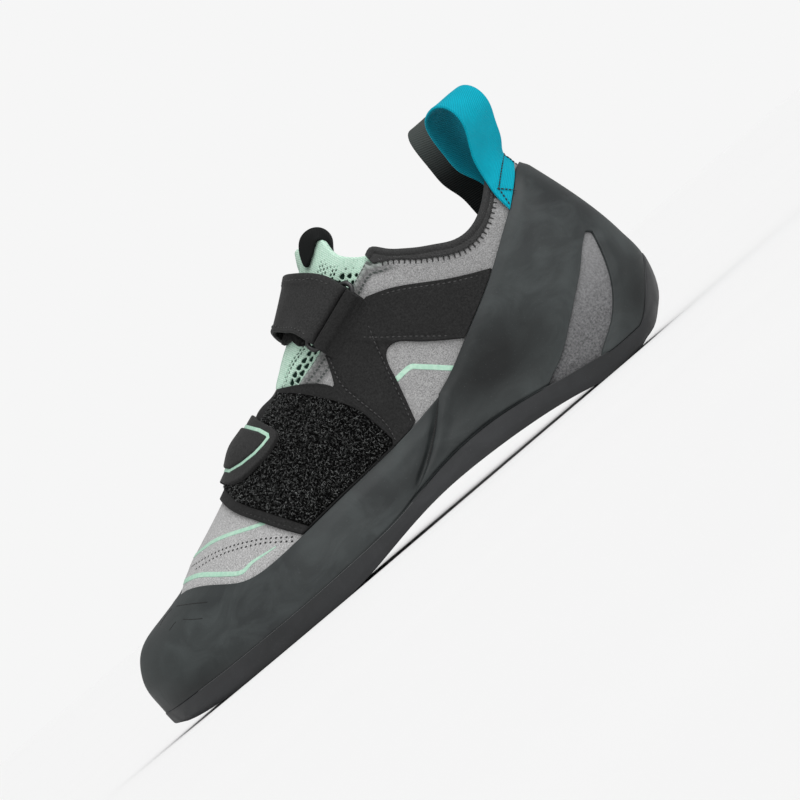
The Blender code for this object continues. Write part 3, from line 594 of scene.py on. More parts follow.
def ribbon(name, grid, thick, looks, rows, cols=22, edge=0.55, hems=None):
    """A band round a coarse grid of points, rows along by columns across, with rounded edges. Hems are two
    widths along its edges where the cloth lies double."""
    lines = np.stack([smooth_run(grid[:, j], rows) for j in range(grid.shape[1])], 1)
    middle = np.stack([smooth_run(row, cols, True) for row in lines], 0)
    along, across = np.gradient(middle, axis=0), np.gradient(middle, axis=1)
    normal = np.cross(along, across)
    normal /= np.linalg.norm(normal, axis=-1, keepdims=True)
    run = np.concatenate([np.zeros((1, cols)), np.cumsum(np.linalg.norm(np.diff(middle, axis=0), axis=2), 0)])
    steps = np.linalg.norm(np.diff(middle, axis=1), axis=2)
    reach = np.concatenate([np.zeros((rows, 1)), np.cumsum(steps, 1)], 1)
    width = reach[:, -1:]
    # Columns are moved out towards the edges, where the section turns over
    share = 0.5 - 0.5 * np.cos(np.linspace(0, np.pi, cols))
    share = 0.45 * np.linspace(0, 1, cols) + 0.55 * share
    spots = np.empty_like(middle)
    norms = np.empty_like(normal)
    for i in range(rows):
        for k in range(3):
            spots[i, :, k] = np.interp(share * width[i, 0], reach[i], middle[i, :, k])
            norms[i, :, k] = np.interp(share * width[i, 0], reach[i], normal[i, :, k])
    norms /= np.linalg.norm(norms, axis=-1, keepdims=True)
    d = np.minimum(share, 1 - share)[None] * width
    end = np.minimum(run, run[-1:] - run)
    half = thick / 2 - np.minimum(rounded(d, edge) * thick / 2 / edge, thick / 2 - 0.04)
    half = half * (0.55 + 0.45 * ease(end / 0.5))
    if hems:
        reach_in = share[None] * width
        double = ease((hems[0] - reach_in) / 0.7 + 0.5) + ease((hems[1] - width + reach_in) / 0.7 + 0.5)
        groove = hump(reach_in - hems[0] + 0.9, 0.45) + hump(width - reach_in - hems[1] + 1.2, 0.45)
        half = half * (1 + 0.42 * double - 0.2 * groove)
    top = spots + norms * half[..., None]
    bottom = spots - norms * half[..., None]
    count = rows * cols
    index = np.arange(count).reshape(rows, cols)
    a, b, c, e = cell_corners(index)
    faces = np.column_stack([a, b, c, e]).tolist() + (np.column_stack([e, c, b, a]) + count).tolist()
    rim = [(index[i, 0], index[i + 1, 0]) for i in range(rows - 1)]
    rim += [(index[-1, j], index[-1, j + 1]) for j in range(cols - 1)]
    rim += [(index[i + 1, -1], index[i, -1]) for i in range(rows - 2, -1, -1)]
    rim += [(index[0, j + 1], index[0, j]) for j in range(cols - 2, -1, -1)]
    faces += [[int(q), int(p), int(p) + count, int(q) + count] for p, q in rim]
    along = np.repeat(run[:, cols // 2], cols)
    numbers = {"along": np.tile(along, 2), "across": np.tile((share[None] * width).ravel(), 2)}
    sides = np.repeat([0, len(looks) - 1, 0], [len(a), len(a), len(rim)])
    piece = mesh_piece(name, np.concatenate([top.reshape(-1, 3), bottom.reshape(-1, 3)]), faces, looks, sides,
                       numbers)
    return piece, spots, norms, half


# Shader helpers

def node(tree, kind, values=None, **settings):
    made = tree.nodes.new(kind)
    for key, value in settings.items():
        setattr(made, key, value)
    for key, value in (values or {}).items():
        if isinstance(value, bpy.types.NodeSocket):
            tree.links.new(value, made.inputs[key])
        else:
            made.inputs[key].default_value = value
    return made


def sum_of(tree, operation, first, second=0.0, clamp=False):
    return node(tree, "ShaderNodeMath", {0: first, 1: second}, operation=operation,
                use_clamp=clamp).outputs[0]


def times(tree, first, second):
    return sum_of(tree, "MULTIPLY", first, second)


def mixed(tree, share, first, second):
    """A colour between two, which may be plain or come from other nodes."""
    blend = node(tree, "ShaderNodeMix", {"Factor": share}, data_type="RGBA")
    for socket, value in ((blend.inputs[6], first), (blend.inputs[7], second)):
        if isinstance(value, bpy.types.NodeSocket):
            tree.links.new(value, socket)
        else:
            socket.default_value = (*value, 1.0)
    return blend.outputs[2]


def ranged(tree, value, low, high, to_low=0.0, to_high=1.0):
    return node(tree, "ShaderNodeMapRange", {"Value": value, "From Min": low, "From Max": high,
                                             "To Min": to_low, "To Max": to_high}).outputs[0]


def noise(tree, where, size, detail=2.0, roughness=0.5, distortion=0.0):
    """Cloudy values with features of about that many millimetres."""
    made = node(tree, "ShaderNodeTexNoise", {"Vector": where, "Scale": 1000.0 / size, "Detail": detail,
                                             "Roughness": roughness, "Distortion": distortion})
    return made.outputs["Fac"]


def shader_group(name, inputs, outputs):
    tree = bpy.data.node_groups.new(name, "ShaderNodeTree")
    for key, kind, value in inputs:
        socket = tree.interface.new_socket(key, in_out="INPUT", socket_type=kind)
        if value is not None:
            socket.default_value = value
    for key in outputs:
        tree.interface.new_socket(key, in_out="OUTPUT", socket_type="NodeSocketFloat")
    return tree, tree.nodes.new("NodeGroupInput"), tree.nodes.new("NodeGroupOutput")


def scaled_noise(tree, where, scale, share, detail, roughness):
    size = times(tree, scale, share)
    return node(tree, "ShaderNodeTexNoise", {"Vector": where, "Scale": size, "Detail": detail,
                                             "Roughness": roughness}).outputs["Fac"]


def nap_group():
    """Short fibres: a speckle, lighter and darker clouds where the nap lies either way, and their height."""
    tree, given, made = shader_group("nap", (("Vector", "NodeSocketVector", None),
                                             ("Fineness", "NodeSocketFloat", 1500.0)),
                                     ("Speckle", "Cloud", "Height"))
    where, fine = given.outputs["Vector"], given.outputs["Fineness"]
    speckle = scaled_noise(tree, where, fine, 1.0, 3.0, 0.65)
    fibre = scaled_noise(tree, where, fine, 2.6, 2.0, 0.6)
    cloud = scaled_noise(tree, where, fine, 0.09, 3.0, 0.55)
    both_fine = sum_of(tree, "ADD", times(tree, speckle, 0.62), times(tree, fibre, 0.38))
    tree.links.new(ranged(tree, both_fine, 0.34, 0.66), made.inputs["Speckle"])
    tree.links.new(ranged(tree, cloud, 0.3, 0.7), made.inputs["Cloud"])
    tree.links.new(both_fine, made.inputs["Height"])
    return tree


def smear_group():
    """Rubber's bloom: wide clouds, wiped streaks down the shoe, and fine dust specks."""
    tree, given, made = shader_group("rubber_bloom", (("Vector", "NodeSocketVector", None),),
                                     ("Cloud", "Streak", "Specks", "Grain"))
    where = given.outputs["Vector"]
    cloud = noise(tree, where, 42.0, 3.0, 0.5, 0.4)
    stretched = node(tree, "ShaderNodeMapping", {"Vector": where, "Rotation": (0.0, 0.55, 0.0),
                                                 "Scale": (0.6, 1.0, 1.0)}).outputs[0]
    streak = noise(tree, stretched, 13.0, 5.0, 0.6, 1.2)
    specks = noise(tree, where, 0.55, 2.0, 0.5)
    grain = noise(tree, where, 0.22, 3.0, 0.6)
    for key, value in (("Cloud", ranged(tree, cloud, 0.32, 0.68)),
                       ("Streak", ranged(tree, streak, 0.42, 0.66)),
                       ("Specks", ranged(tree, specks, 0.66, 0.8)),
                       ("Grain", grain)):
        tree.links.new(value, made.inputs[key])
    return tree


def rib_group():
    """Ribs across a band of webbing, rounded, with a thread twist along each."""
    tree, given, made = shader_group("webbing_ribs", (("Along", "NodeSocketFloat", 0.0),
                                                      ("Across", "NodeSocketFloat", 0.0),
                                                      ("Pitch", "NodeSocketFloat", 0.62)),
                                     ("Rib", "Thread", "Height"))
    turn = times(tree, sum_of(tree, "DIVIDE", given.outputs["Along"], given.outputs["Pitch"]), math.tau)
    rib = ranged(tree, node(tree, "ShaderNodeMath", {0: turn}, operation="COSINE").outputs[0], -1.0, 1.0)
    lean = sum_of(tree, "ADD", times(tree, given.outputs["Across"], math.tau / 0.45), times(tree, turn, 0.5))
    thread = ranged(tree, node(tree, "ShaderNodeMath", {0: lean}, operation="COSINE").outputs[0], -1.0, 1.0)
    tree.links.new(rib, made.inputs["Rib"])
    tree.links.new(thread, made.inputs["Thread"])
    tree.links.new(sum_of(tree, "ADD", times(tree, rib, 0.9), times(tree, thread, 0.1)),
                   made.inputs["Height"])
    return tree


NAP, BLOOM, RIBS = nap_group(), smear_group(), rib_group()


def placed(tree, group, values):
    return node(tree, "ShaderNodeGroup", values, node_tree=group).outputs


def number(tree, name):
    return node(tree, "ShaderNodeAttribute", attribute_name=name).outputs["Fac"]


class Finish:
    """A material under construction: its tree, its shader and the piece's own coordinates."""

    def __init__(self, name, roughness=0.8, sheen=0.0, specular=0.5, coat=0.0):
        self.look = bpy.data.materials.new(name)
        self.look.use_nodes = True
        self.tree = self.look.node_tree
        self.shader = self.tree.nodes["Principled BSDF"]
        self.where = node(self.tree, "ShaderNodeTexCoord").outputs["Object"]
        for key, value in (("Roughness", roughness), ("Sheen Weight", sheen), ("Sheen Roughness", 0.4),
                           ("Specular IOR Level", specular), ("Coat Weight", coat), ("Coat Roughness", 0.35)):
            self.shader.inputs[key].default_value = value

    def colour(self, socket):
        self.tree.links.new(socket, self.shader.inputs["Base Color"])

    def roughness(self, socket):
        self.tree.links.new(socket, self.shader.inputs["Roughness"])

    def bump(self, *heights):
        """Heights as (socket, depth in millimetres, strength), one over the other."""
        under = None
        for height, depth, strength in heights:
            made = node(self.tree, "ShaderNodeBump", {"Height": height, "Distance": depth * MM,
                                                      "Strength": strength})
            if under:
                self.tree.links.new(under, made.inputs["Normal"])
            under = made.outputs[0]
        self.tree.links.new(under, self.shader.inputs["Normal"])


def lobe(tree, where, middle, reach):
    """One in the middle of a soft spot seen from the side, none beyond its reach. Both are x, z in metres."""
    away = node(tree, "ShaderNodeVectorMath", {0: where, 1: (middle[0], 0.0, middle[1])},
                operation="SUBTRACT").outputs[0]
    away = node(tree, "ShaderNodeVectorMath", {0: away, 1: (1 / reach[0], 0.0, 1 / reach[1])},
                operation="MULTIPLY").outputs[0]
    far = node(tree, "ShaderNodeVectorMath", {0: away}, operation="LENGTH").outputs["Value"]
    return ranged(tree, far, 1.0, 0.2)


def rubber_look(name, dark, light, streaks, painted_shade_lobes=()):
    f = Finish(name, 0.5, specular=0.3)
    bloom = placed(f.tree, BLOOM, {"Vector": f.where})
    tone = mixed(f.tree, bloom["Cloud"], dark, light)
    tone = mixed(f.tree, times(f.tree, bloom["Streak"], streaks), tone, tuple(1.8 * c for c in light))
    # Painted shade: each lobe darkens the rubber where it lies in shade
    for middle, reach, strength in painted_shade_lobes:
        share = times(f.tree, lobe(f.tree, f.where, middle, reach), strength)
        tone = mixed(f.tree, share, tone, tuple(0.2 * c for c in dark))
    tone = mixed(f.tree, times(f.tree, bloom["Specks"], 0.3), tone, (0.1, 0.105, 0.105))
    f.colour(tone)
    f.roughness(ranged(f.tree, bloom["Streak"], 0.0, 1.0, 0.46, 0.62))
    f.bump((bloom["Grain"], 0.06, 0.4), (bloom["Streak"], 0.3, 0.15))
    return f.look


def suede_look():
    f = Finish("suede", 0.92, sheen=0.25, specular=0.2)
    nap = placed(f.tree, NAP, {"Vector": f.where, "Fineness": 2100.0})
    tone = mixed(f.tree, nap["Speckle"], (0.12, 0.119, 0.119), (0.7, 0.697, 0.697))
    tone = mixed(f.tree, times(f.tree, nap["Cloud"], 0.25), tone, (0.5, 0.497, 0.497))
    spot = node(f.tree, "ShaderNodeSeparateXYZ", {0: f.where}).outputs
    # Painted light and shade: paler at the toe, which faces up to the light, darker towards the collar
    painted_shade_to_collar = sum_of(f.tree, "ADD", ranged(f.tree, spot["X"], -0.06, 0.02, 0.0, 0.3),
                  ranged(f.tree, spot["X"], 0.04, 0.06, 0.0, 0.1))
    tone = mixed(f.tree, painted_shade_to_collar, tone, (0.05, 0.05, 0.05))
    # The heel's window is darker, with a coarser nap
    heel = times(f.tree, ranged(f.tree, spot["X"], 0.055, 0.06), ranged(f.tree, spot["Z"], 0.052, 0.048))
    coarse = noise(f.tree, f.where, 0.75, 3.0, 0.7)
    window = mixed(f.tree, ranged(f.tree, coarse, 0.34, 0.66), (0.08, 0.08, 0.082), (0.205, 0.205, 0.21))
    window = mixed(f.tree, ranged(f.tree, spot["Z"], 0.018, 0.04, 0.0, 0.4), window, (0.34, 0.34, 0.345))
    tone = mixed(f.tree, heel, tone, window)
    # Towards the throat it thins to a pale net with dark slanting lines
    edge = number(f.tree, "edge")
    front = ranged(f.tree, spot["X"], 0.05, 0.044)
    reach = ranged(f.tree, spot["X"], 0.012, 0.022, 10.0, 5.5)
    near = times(f.tree, ranged(f.tree, sum_of(f.tree, "DIVIDE", edge, reach), 1.0, 0.75), front)
    tone = mixed(f.tree, times(f.tree, near, 0.45), tone, (0.06, 0.06, 0.06))
    tone = mixed(f.tree, times(f.tree, ranged(f.tree, edge, 2.4, 0.4), front), tone, (0.4, 0.45, 0.42))
    run = sum_of(f.tree, "ADD", times(f.tree, spot["X"], 940.0), times(f.tree, spot["Z"], 337.0))
    lines = []
    for operation in ("ADD", "SUBTRACT"):
        slant = sum_of(f.tree, "DIVIDE", sum_of(f.tree, operation, run, times(f.tree, edge, 0.7)), 2.5)
        lines.append(ranged(f.tree, sum_of(f.tree, "PINGPONG", slant, 0.5), 0.2, 0.07))
    # Two rows of small openings run along it too
    rows = sum_of(f.tree, "PINGPONG", sum_of(f.tree, "DIVIDE", sum_of(f.tree, "ADD", edge, 1.2), 3.4), 0.5)
    gaps = sum_of(f.tree, "PINGPONG", sum_of(f.tree, "DIVIDE", run, 1.5), 0.5)
    lines.append(times(f.tree, ranged(f.tree, rows, 0.3, 0.42), ranged(f.tree, gaps, 0.1, 0.22)))
    net = sum_of(f.tree, "MAXIMUM", times(f.tree, sum_of(f.tree, "MAXIMUM", *lines[:2]), 0.42), lines[2])
    dots = times(f.tree, net, near)
    tone = mixed(f.tree, times(f.tree, dots, 0.85), tone, (0.035, 0.045, 0.04))
    f.colour(tone)
    f.bump((nap["Height"], 0.3, 1.0), (nap["Cloud"], 0.4, 0.15))
    return f.look


def microfibre_look(name, dark, light, fineness=1500.0, sheen=0.05):
    f = Finish(name, 0.82, sheen=sheen, specular=0.18)
    nap = placed(f.tree, NAP, {"Vector": f.where, "Fineness": fineness})
    tone = mixed(f.tree, nap["Speckle"], dark, light)
    tone = mixed(f.tree, times(f.tree, nap["Cloud"], 0.4), tone,
                 tuple(0.7 * a + 0.3 * b for a, b in zip(light, dark)))
    f.colour(tone)
    f.roughness(ranged(f.tree, nap["Cloud"], 0.0, 1.0, 0.7, 0.9))
    f.bump((nap["Height"], 0.2, 0.7), (nap["Cloud"], 0.5, 0.3))
    return f.look


def knit_look():
    f = Finish("knit", 0.85, sheen=0.2, specular=0.25)
    along, across, hole = number(f.tree, "along"), number(f.tree, "across"), number(f.tree, "hole")
    wave = node(f.tree, "ShaderNodeMath", {0: times(f.tree, across, math.tau / 0.62)},
                operation="COSINE").outputs[0]
    turn = sum_of(f.tree, "ADD", times(f.tree, along, math.tau / 0.7), times(f.tree, wave, 0.9))
    loop = node(f.tree, "ShaderNodeMath", {0: turn}, operation="COSINE").outputs[0]
    yarn = ranged(f.tree, sum_of(f.tree, "ADD", wave, times(f.tree, loop, 0.7)), -1.7, 1.7)
    fuzz = noise(f.tree, f.where, 0.5, 3.0, 0.6)
    tone = mixed(f.tree, yarn, (0.17, 0.43, 0.28), (0.8, 1.0, 0.87))
    tone = mixed(f.tree, ranged(f.tree, fuzz, 0.4, 0.75, 0.0, 0.6), tone, (0.84, 1.0, 0.9))
    tone = mixed(f.tree, ranged(f.tree, hole, 0.1, 0.5), tone, (0.002, 0.022, 0.014))
    f.colour(tone)
    f.bump((yarn, 0.16, 0.7), (fuzz, 0.1, 0.3))
    return f.look


def webbing_look(name, dark, light, pitch, relief=0.14, top_highlight=0.0):
    f = Finish(name, 0.7, sheen=0.0, specular=0.12)
    ribs = placed(f.tree, RIBS, {"Along": number(f.tree, "along"), "Across": number(f.tree, "across"),
                                 "Pitch": pitch})
    tone = mixed(f.tree, ribs["Height"], dark, light)
    fade = noise(f.tree, f.where, 6.0, 2.0)
    tone = mixed(f.tree, ranged(f.tree, fade, 0.4, 0.75, 0.0, 0.2), tone, tuple(1.2 * c for c in light))
    # Painted highlight: the top of the loop is lighter, where light from above falls on it
    high = node(f.tree, "ShaderNodeSeparateXYZ", {0: f.where}).outputs["Z"]
    tone = mixed(f.tree, ranged(f.tree, high, 0.093, 0.108, 0.0, top_highlight), tone, tuple(6 * c for c in light))
    f.colour(tone)
    f.bump((ribs["Height"], relief, 0.8))
    return f.look


def pile_look(name, dark, light, roughness, specular, own_tone=False):
    f = Finish(name, roughness, specular=specular)
    share = ranged(f.tree, noise(f.tree, f.where, 1.1, 2.0), 0.35, 0.65)
    if own_tone:
        share = sum_of(f.tree, "POWER", number(f.tree, "tone"), 2.6)
    f.colour(mixed(f.tree, share, dark, light))
    f.bump((noise(f.tree, f.where, 0.35, 3.0, 0.7), 0.3, 0.8))
    return f.look


def film_look():
    f = Finish("mint_film", 0.5, specular=0.4)
    tone = mixed(f.tree, ranged(f.tree, noise(f.tree, f.where, 1.4, 3.0), 0.35, 0.7), (0.36, 0.61, 0.47),
                 (0.5, 0.71, 0.58))
    f.colour(tone)
    f.bump((noise(f.tree, f.where, 0.4, 2.0), 0.04, 0.4))
    return f.look


def thread_look(name, dark, light):
    f = Finish(name, 0.5, sheen=0.1, specular=0.4)
    f.colour(mixed(f.tree, noise(f.tree, f.where, 0.3, 2.0), dark, light))
    f.bump((noise(f.tree, f.where, 0.12, 1.0), 0.05, 0.6))
    return f.look


def plastic_look():
    f = Finish("ring_plastic", 0.32, specular=0.5)
    cloud = noise(f.tree, f.where, 3.0, 3.0)
    f.colour(mixed(f.tree, cloud, (0.012, 0.012, 0.013), (0.025, 0.025, 0.026)))
    f.roughness(ranged(f.tree, cloud, 0.3, 0.7, 0.26, 0.42))
    f.bump((noise(f.tree, f.where, 0.4, 2.0), 0.03, 0.3))
    return f.look


RAND_RUBBER = rubber_look("rand_rubber", (0.021, 0.024, 0.025), (0.038, 0.044, 0.044), 0.42, (
    # painted shade, darker low on the rand where less light falls: x and z of the middle, reach each way,
    # strength
    ((0.052, 0.030), (0.036, 0.019), 0.85),
    ((0.112, 0.014), (0.022, 0.02), 0.7),
    ((-0.106, 0.009), (0.03, 0.009), 0.6),
    ((0.012, 0.018), (0.04, 0.01), 0.35)))
# Painted shade low on the sole at the heel, like the rand's lobes
SOLE_RUBBER = rubber_look("sole_rubber", (0.021, 0.022, 0.023), (0.032, 0.033, 0.035), 0.25,
                          (((0.098, 0.004), (0.06, 0.03), 0.4),))
SUEDE = suede_look()
MICROFIBRE = microfibre_look("microfibre", (0.002, 0.002, 0.002), (0.027, 0.027, 0.027))
# The straps' black cloth has a finer grain; its lighter tone is painted light, as the straps face up to the
# light
STRAP_CLOTH = microfibre_look("strap_cloth", (0.008, 0.008, 0.008), (0.044, 0.044, 0.044), 1700.0)
BINDING = microfibre_look("binding", (0.01, 0.01, 0.01), (0.06, 0.06, 0.06), 2200.0)
LINING = microfibre_look("lining", (0.05, 0.05, 0.052), (0.13, 0.13, 0.135), 1800.0)
KNIT = knit_look()
TEAL = webbing_look("teal_webbing", (0.0, 0.27, 0.37), (0.0, 0.41, 0.54), 0.72)
# Painted shade: the teal webbing darkened for the inside of the loop, which lies in shade
TEAL_SHADED_INSIDE = webbing_look("teal_webbing_painted_shade", (0.0, 0.12, 0.17), (0.0, 0.2, 0.27), 0.72)
BLACK_TAPE = webbing_look("black_tape", (0.004, 0.0045, 0.0045), (0.008, 0.009, 0.009), 0.8, 0.04)
# The black loop's top carries a painted highlight
BLACK_WEBBING = webbing_look("black_webbing", (0.006, 0.007, 0.007), (0.019, 0.022, 0.021), 0.8,
                             top_highlight=0.45)
PILE_GROUND = pile_look("pile_ground", (0.0005, 0.0005, 0.0005), (0.004, 0.004, 0.004), 0.9, 0.03)
PILE_LOOPS = pile_look("pile_loops", (0.004, 0.0045, 0.0045), (0.26, 0.27, 0.265), 0.45, 0.3, own_tone=True)
HOOKS = pile_look("hook_face", (0.001, 0.001, 0.001), (0.022, 0.022, 0.022), 0.8, 0.1)
MINT_FILM = film_look()
DARK_THREAD = thread_look("dark_thread", (0.008, 0.008, 0.008), (0.02, 0.02, 0.02))
SEAM_THREAD = thread_look("seam_thread", (0.012, 0.012, 0.012), (0.085, 0.085, 0.085))
GREY_THREAD = thread_look("grey_thread", (0.03, 0.03, 0.03), (0.16, 0.16, 0.16))
NAVY_THREAD = thread_look("navy_thread", (0.002, 0.006, 0.012), (0.006, 0.02, 0.03))
# Light grey for a painted highlight on the sole's lip
LIP_HIGHLIGHT = thread_look("lip_painted_highlight", (0.05, 0.052, 0.052), (0.15, 0.155, 0.155))
# Near black for needle holes, pinholes and toe scratches, and as painted shade in the heel rand's fold
DARK_HOLES_AND_SHADE = thread_look("pinhole_and_crease_shade", (0.002, 0.002, 0.002), (0.008, 0.008, 0.008))
RING_PLASTIC = plastic_look()


# Sole and insole

def span_faces(rings, around_count):
    faces = []
    for r in range(rings - 1):
        k = np.arange(around_count)
        a, b = r * around_count + k, r * around_count + (k + 1) % around_count
        faces.append(np.column_stack([a, a + around_count, b + around_count, b]))
    return np.concatenate(faces).tolist()


def cap(ring, steps, n, up):
    """Points that fill a ring of 2n points with straight lines from the outer to the inner side."""
    k = np.arange(1, n)
    outer, inner = ring[k], ring[2 * n - k]
    share = np.linspace(0, 1, steps + 1)[1:-1]
    middle = outer[:, None] + (inner - outer)[:, None] * share[None, :, None]
    return middle, k, up


def filled(ring_start, middle_start, n, steps, up):
    """Faces of such a cap, with its ring's first index and its middle points' first index."""
    def at(k, j):
        if j == 0:
            return ring_start + k
        if j == steps:
            return ring_start + 2 * n - k
        return middle_start + (k - 1) * (steps - 1) + j - 1

    faces = []
    for k in range(1, n - 1):
        for j in range(steps):
            faces.append([at(k, j), at(k + 1, j), at(k + 1, j + 1), at(k, j + 1)])
    for j in range(steps):
        faces.append([ring_start, at(1, j), at(1, j + 1)])
        faces.append([ring_start + n, at(n - 1, j + 1), at(n - 1, j)])
    return faces if up else [face[::-1] for face in faces]


def lofted(name, rings, n, looks, steps, sharp=40.0):
    """A closed body from rings round the foot, the first facing down and the last facing up."""
    bottom, top = cap(rings[0], steps, n, False)[0], cap(rings[-1], steps, n, True)[0]
    count = 2 * n
    spots = np.concatenate(rings + [bottom.reshape(-1, 3), top.reshape(-1, 3)])
    faces = span_faces(len(rings), count)
    start = len(rings) * count
    faces += filled(0, start, n, steps, True)
    faces += filled((len(rings) - 1) * count, start + (n - 1) * (steps - 1), n, steps, False)
    piece = mesh_piece(name, spots, faces, looks, sharp=sharp)
    body = bmesh.new()
    body.from_mesh(piece.data)
    bmesh.ops.recalc_face_normals(body, faces=body.faces)
    body.to_mesh(piece.data)
    body.free()
    piece.data.shade_smooth()
    piece.data.set_sharp_from_angle(angle=math.radians(sharp))
    return piece


def toe_share(u):
    return np.exp(-((np.asarray(u) - LAST_ROW) / 1.6) ** 2)


def heel_share(u):
    off = np.minimum(u, 2 * LAST_ROW - u)
    return np.exp(-(off / 1.5) ** 2)


def sole_reach(u):
    """How far the sole's side stands off the last."""
    return RAND + 2 * GAP + 0.05 + LIP - 0.75 * toe_share(u)


def above_lip(u, t):
    row = around(u)
    return last_point(u, t)[..., 2] - np.maximum(row["lip_z"], row["foot_z"] + 0.6)


def rand_height(u, t):
    """The rand swells out to the sole's side, with a groove over the sole's lip that opens at the arch."""
    above = above_lip(u, t)
    arch = hump(around(u)["x"] - 26, 34)
    swell = sole_reach(u) - GAP - RAND - 0.34 + 0.7 * arch
    swell = swell * ease(1 - above / 11) * ease((above + 0.25) / 0.25)
    groove = (0.02 + 1.6 * arch) * hump(above - 0.1 - 0.3 * arch, 0.3 + 0.35 * arch)
    return GAP + RAND + swell - groove * ease((above + 0.4) / 0.3)


LIP_CUTS = ((above_lip, (-0.3, 0.0, 0.25, 0.5, 0.8, 1.2)),)


def sole():
    n = 280
    u = np.arange(2 * n) * LAST_ROW / n
    row = around(u)
    foot, out = last_point(u, np.zeros(2 * n)), last_normal(u, np.zeros(2 * n))
    lip = np.maximum(row["lip_z"], row["foot_z"] + 0.6)
    snug = RAND + GAP + 0.12
    wide = sole_reach(u)
    ground = foot + out * row["ground_out"][:, None]
    ground[:, 2] = np.maximum(row["ground_z"], 0)
    side = foot + out * wide[:, None]
    bevel = ground * 0.4 + side * 0.6 + out * np.clip(0.9 + 0.08 * row["ground_out"], 0.2, 1)[:, None]
    bevel[:, 2] = ground[:, 2] * 0.68 + foot[:, 2] * 0.32
    inner_t, top_t = height_t(u, lip), height_t(u, lip - 0.25)
    wall = [on_last(u, top_t * f, wide) for f in (0.35, 0.7, 0.93)]
    swept = smooth_run(np.array([ground, bevel, side] + wall), 16, True)
    # Off the heel the side falls straight to a bevel that runs in to the tread
    corner = side - out * 0.3
    corner[:, 2] = ground[:, 2] + 0.34 * (foot[:, 2] - ground[:, 2])
    down, up = ground - corner, side - corner
    before = corner + down / np.linalg.norm(down, axis=1, keepdims=True) * 0.7
    after = corner + up / np.linalg.norm(up, axis=1, keepdims=True) * 0.7
    flat = [ground, ground * 0.66 + before * 0.34, ground * 0.33 + before * 0.67, before,
            before * 0.45 + corner * 0.44 + after * 0.11, before * 0.11 + corner * 0.44 + after * 0.45, after]
    flat += [after + (side - after) * f for f in (0.2, 0.4, 0.6, 0.8)]
    flat += [side, on_last(u, top_t * 0.17, wide)] + wall
    share = heel_share(u)[None, :, None]
    rise = np.array(flat) * (1 - share) + swept * share
    # The tread's edge is broken by a small round, and so is the lip
    toward = rise[2] - rise[0]
    toward /= np.linalg.norm(toward, axis=1, keepdims=True)
    turn = [ground - out * 1.1, ground - out * 0.55 + toward * 0.02, ground - out * 0.2 + toward * 0.12,
            ground + toward * 0.36, ground + toward * 0.75]
    lips = [on_last(u, top_t * f, away) for f, away in
            ((0.985, wide - 0.06), (1.0, wide - 0.22), (1.006, (wide + snug) / 2))]
    lips += [on_last(u, top_t, np.full(2 * n, snug + 0.18))]
    lips += [on_last(u, inner_t * f, np.full(2 * n, snug)) for f in (0.95, 0.7, 0.35)]
    lips.append(foot + out * snug - np.array((0, 0, GAP)))
    rings = turn + list(rise[2:]) + lips
    return lofted("sole", rings, n, [SOLE_RUBBER], 18)


def footbed():
    n = 160
    u = np.arange(2 * n) * LAST_ROW / n
    out = last_normal(u, np.zeros(2 * n))
    edge = last_point(u, np.zeros(2 * n)) - out * (WALL + 0.8)
    up = np.array((0, 0, 1.0))
    rings = [edge, edge + up * 1.5, edge + up * 2.5 - out * 0.25, edge + up * 2.9 - out * 0.9,
             edge + up * 2.6 - out * 2.2, edge + up * 2.0 - out * 4.5]
    return lofted("footbed", rings, n, [LINING], 20)


fitted(sole(), "sole_rubber", "outsole")
fitted(footbed(), "lining", "insole")


# Upper, binding and tongue

OPENING = through(THROAT) + through(COLLAR_LOW) + [(130, 84), (130, 170), (-24, 170)]
IN_OPENING = inside(OPENING)


def sunk(lines, depth, width):
    """Grooves that rows of stitches pull into a face."""
    return [trough(line, depth, width) for line in lines]


UPPER_CREASES = (
    # line seen from the side, depth, width
    (((-82, 44), (-72, 40.5), (-66, 35)), 0.25, 2.2),
    (((-70, 49), (-60, 43), (-52, 37)), -0.2, 2.6),
    (((44, 79), (56, 71), (68, 64)), 0.3, 2.4),
    (((60, 71.5), (72, 65.5), (84, 67)), 0.3, 2.2),
    (((27, 55), (33, 48), (42, 42)), -0.25, 3.0),
)
CREASE_RELIEFS = [trough(*row) for row in UPPER_CREASES]


def upper_relief(spots, normals):
    """Soft creases, and the fullness of the toe behind the rand's edge."""
    full = 0.85 * hump(spots[:, 0] + 80, 8.0) * ease((spots[:, 2] - 33) / 8)
    return full + sum(relief(spots, normals) for relief in CREASE_RELIEFS)


fitted(layer("upper_suede", [SUEDE, LINING], beyond(IN_OPENING), -WALL, 0.0, edge=1.3, fine=0,
             reliefs=[upper_relief]), "suede", "upper")


def binding():
    """Tape rolled over the collar's edge: a round bead, a groove, and a flat foot that is stitched down."""
    rim = through(COLLAR_TOP)
    foot = through(BINDING_FOOT)
    skin, d = trimmed(inside(foot + rim[::-1]), 2, (0.0, 0.03, 0.12, 0.3, 0.6, 1.0, 1.4))
    from_rim = np.minimum(nearest(rim, skin.spots, skin.normals)[0], 8)
    over = IN_OPENING(skin.spots, skin.normals)
    bulge = (0.55 + 0.45 * hump(from_rim - 1.3, 1.0) - 0.4 * hump(from_rim - 2.75, 0.3)
             + 0.1 * hump(from_rim - 3.6, 0.6))
    turn = np.sqrt(np.clip(1 - (1 - np.clip(from_rim / 1.4, 0, 1)) ** 2, 0, 1))
    at_foot = rounded(np.where(from_rim > 2.0, d, 9.0), 0.4)
    middle = -0.75
    top = middle + (bulge - middle) * turn - at_foot
    back = middle - (WALL + 0.4 + middle) * turn
    bottom = np.where(over > -0.15, back, np.minimum(0.03, top - 0.05))
    outer = skin.spots + skin.normals * top[:, None]
    inner = skin.spots + skin.normals * bottom[:, None]
    return solid("collar_tape", outer, inner, skin.tris, [BINDING], {"edge": d}, sharp=70)


fitted(binding(), "binding", "collar_binding")

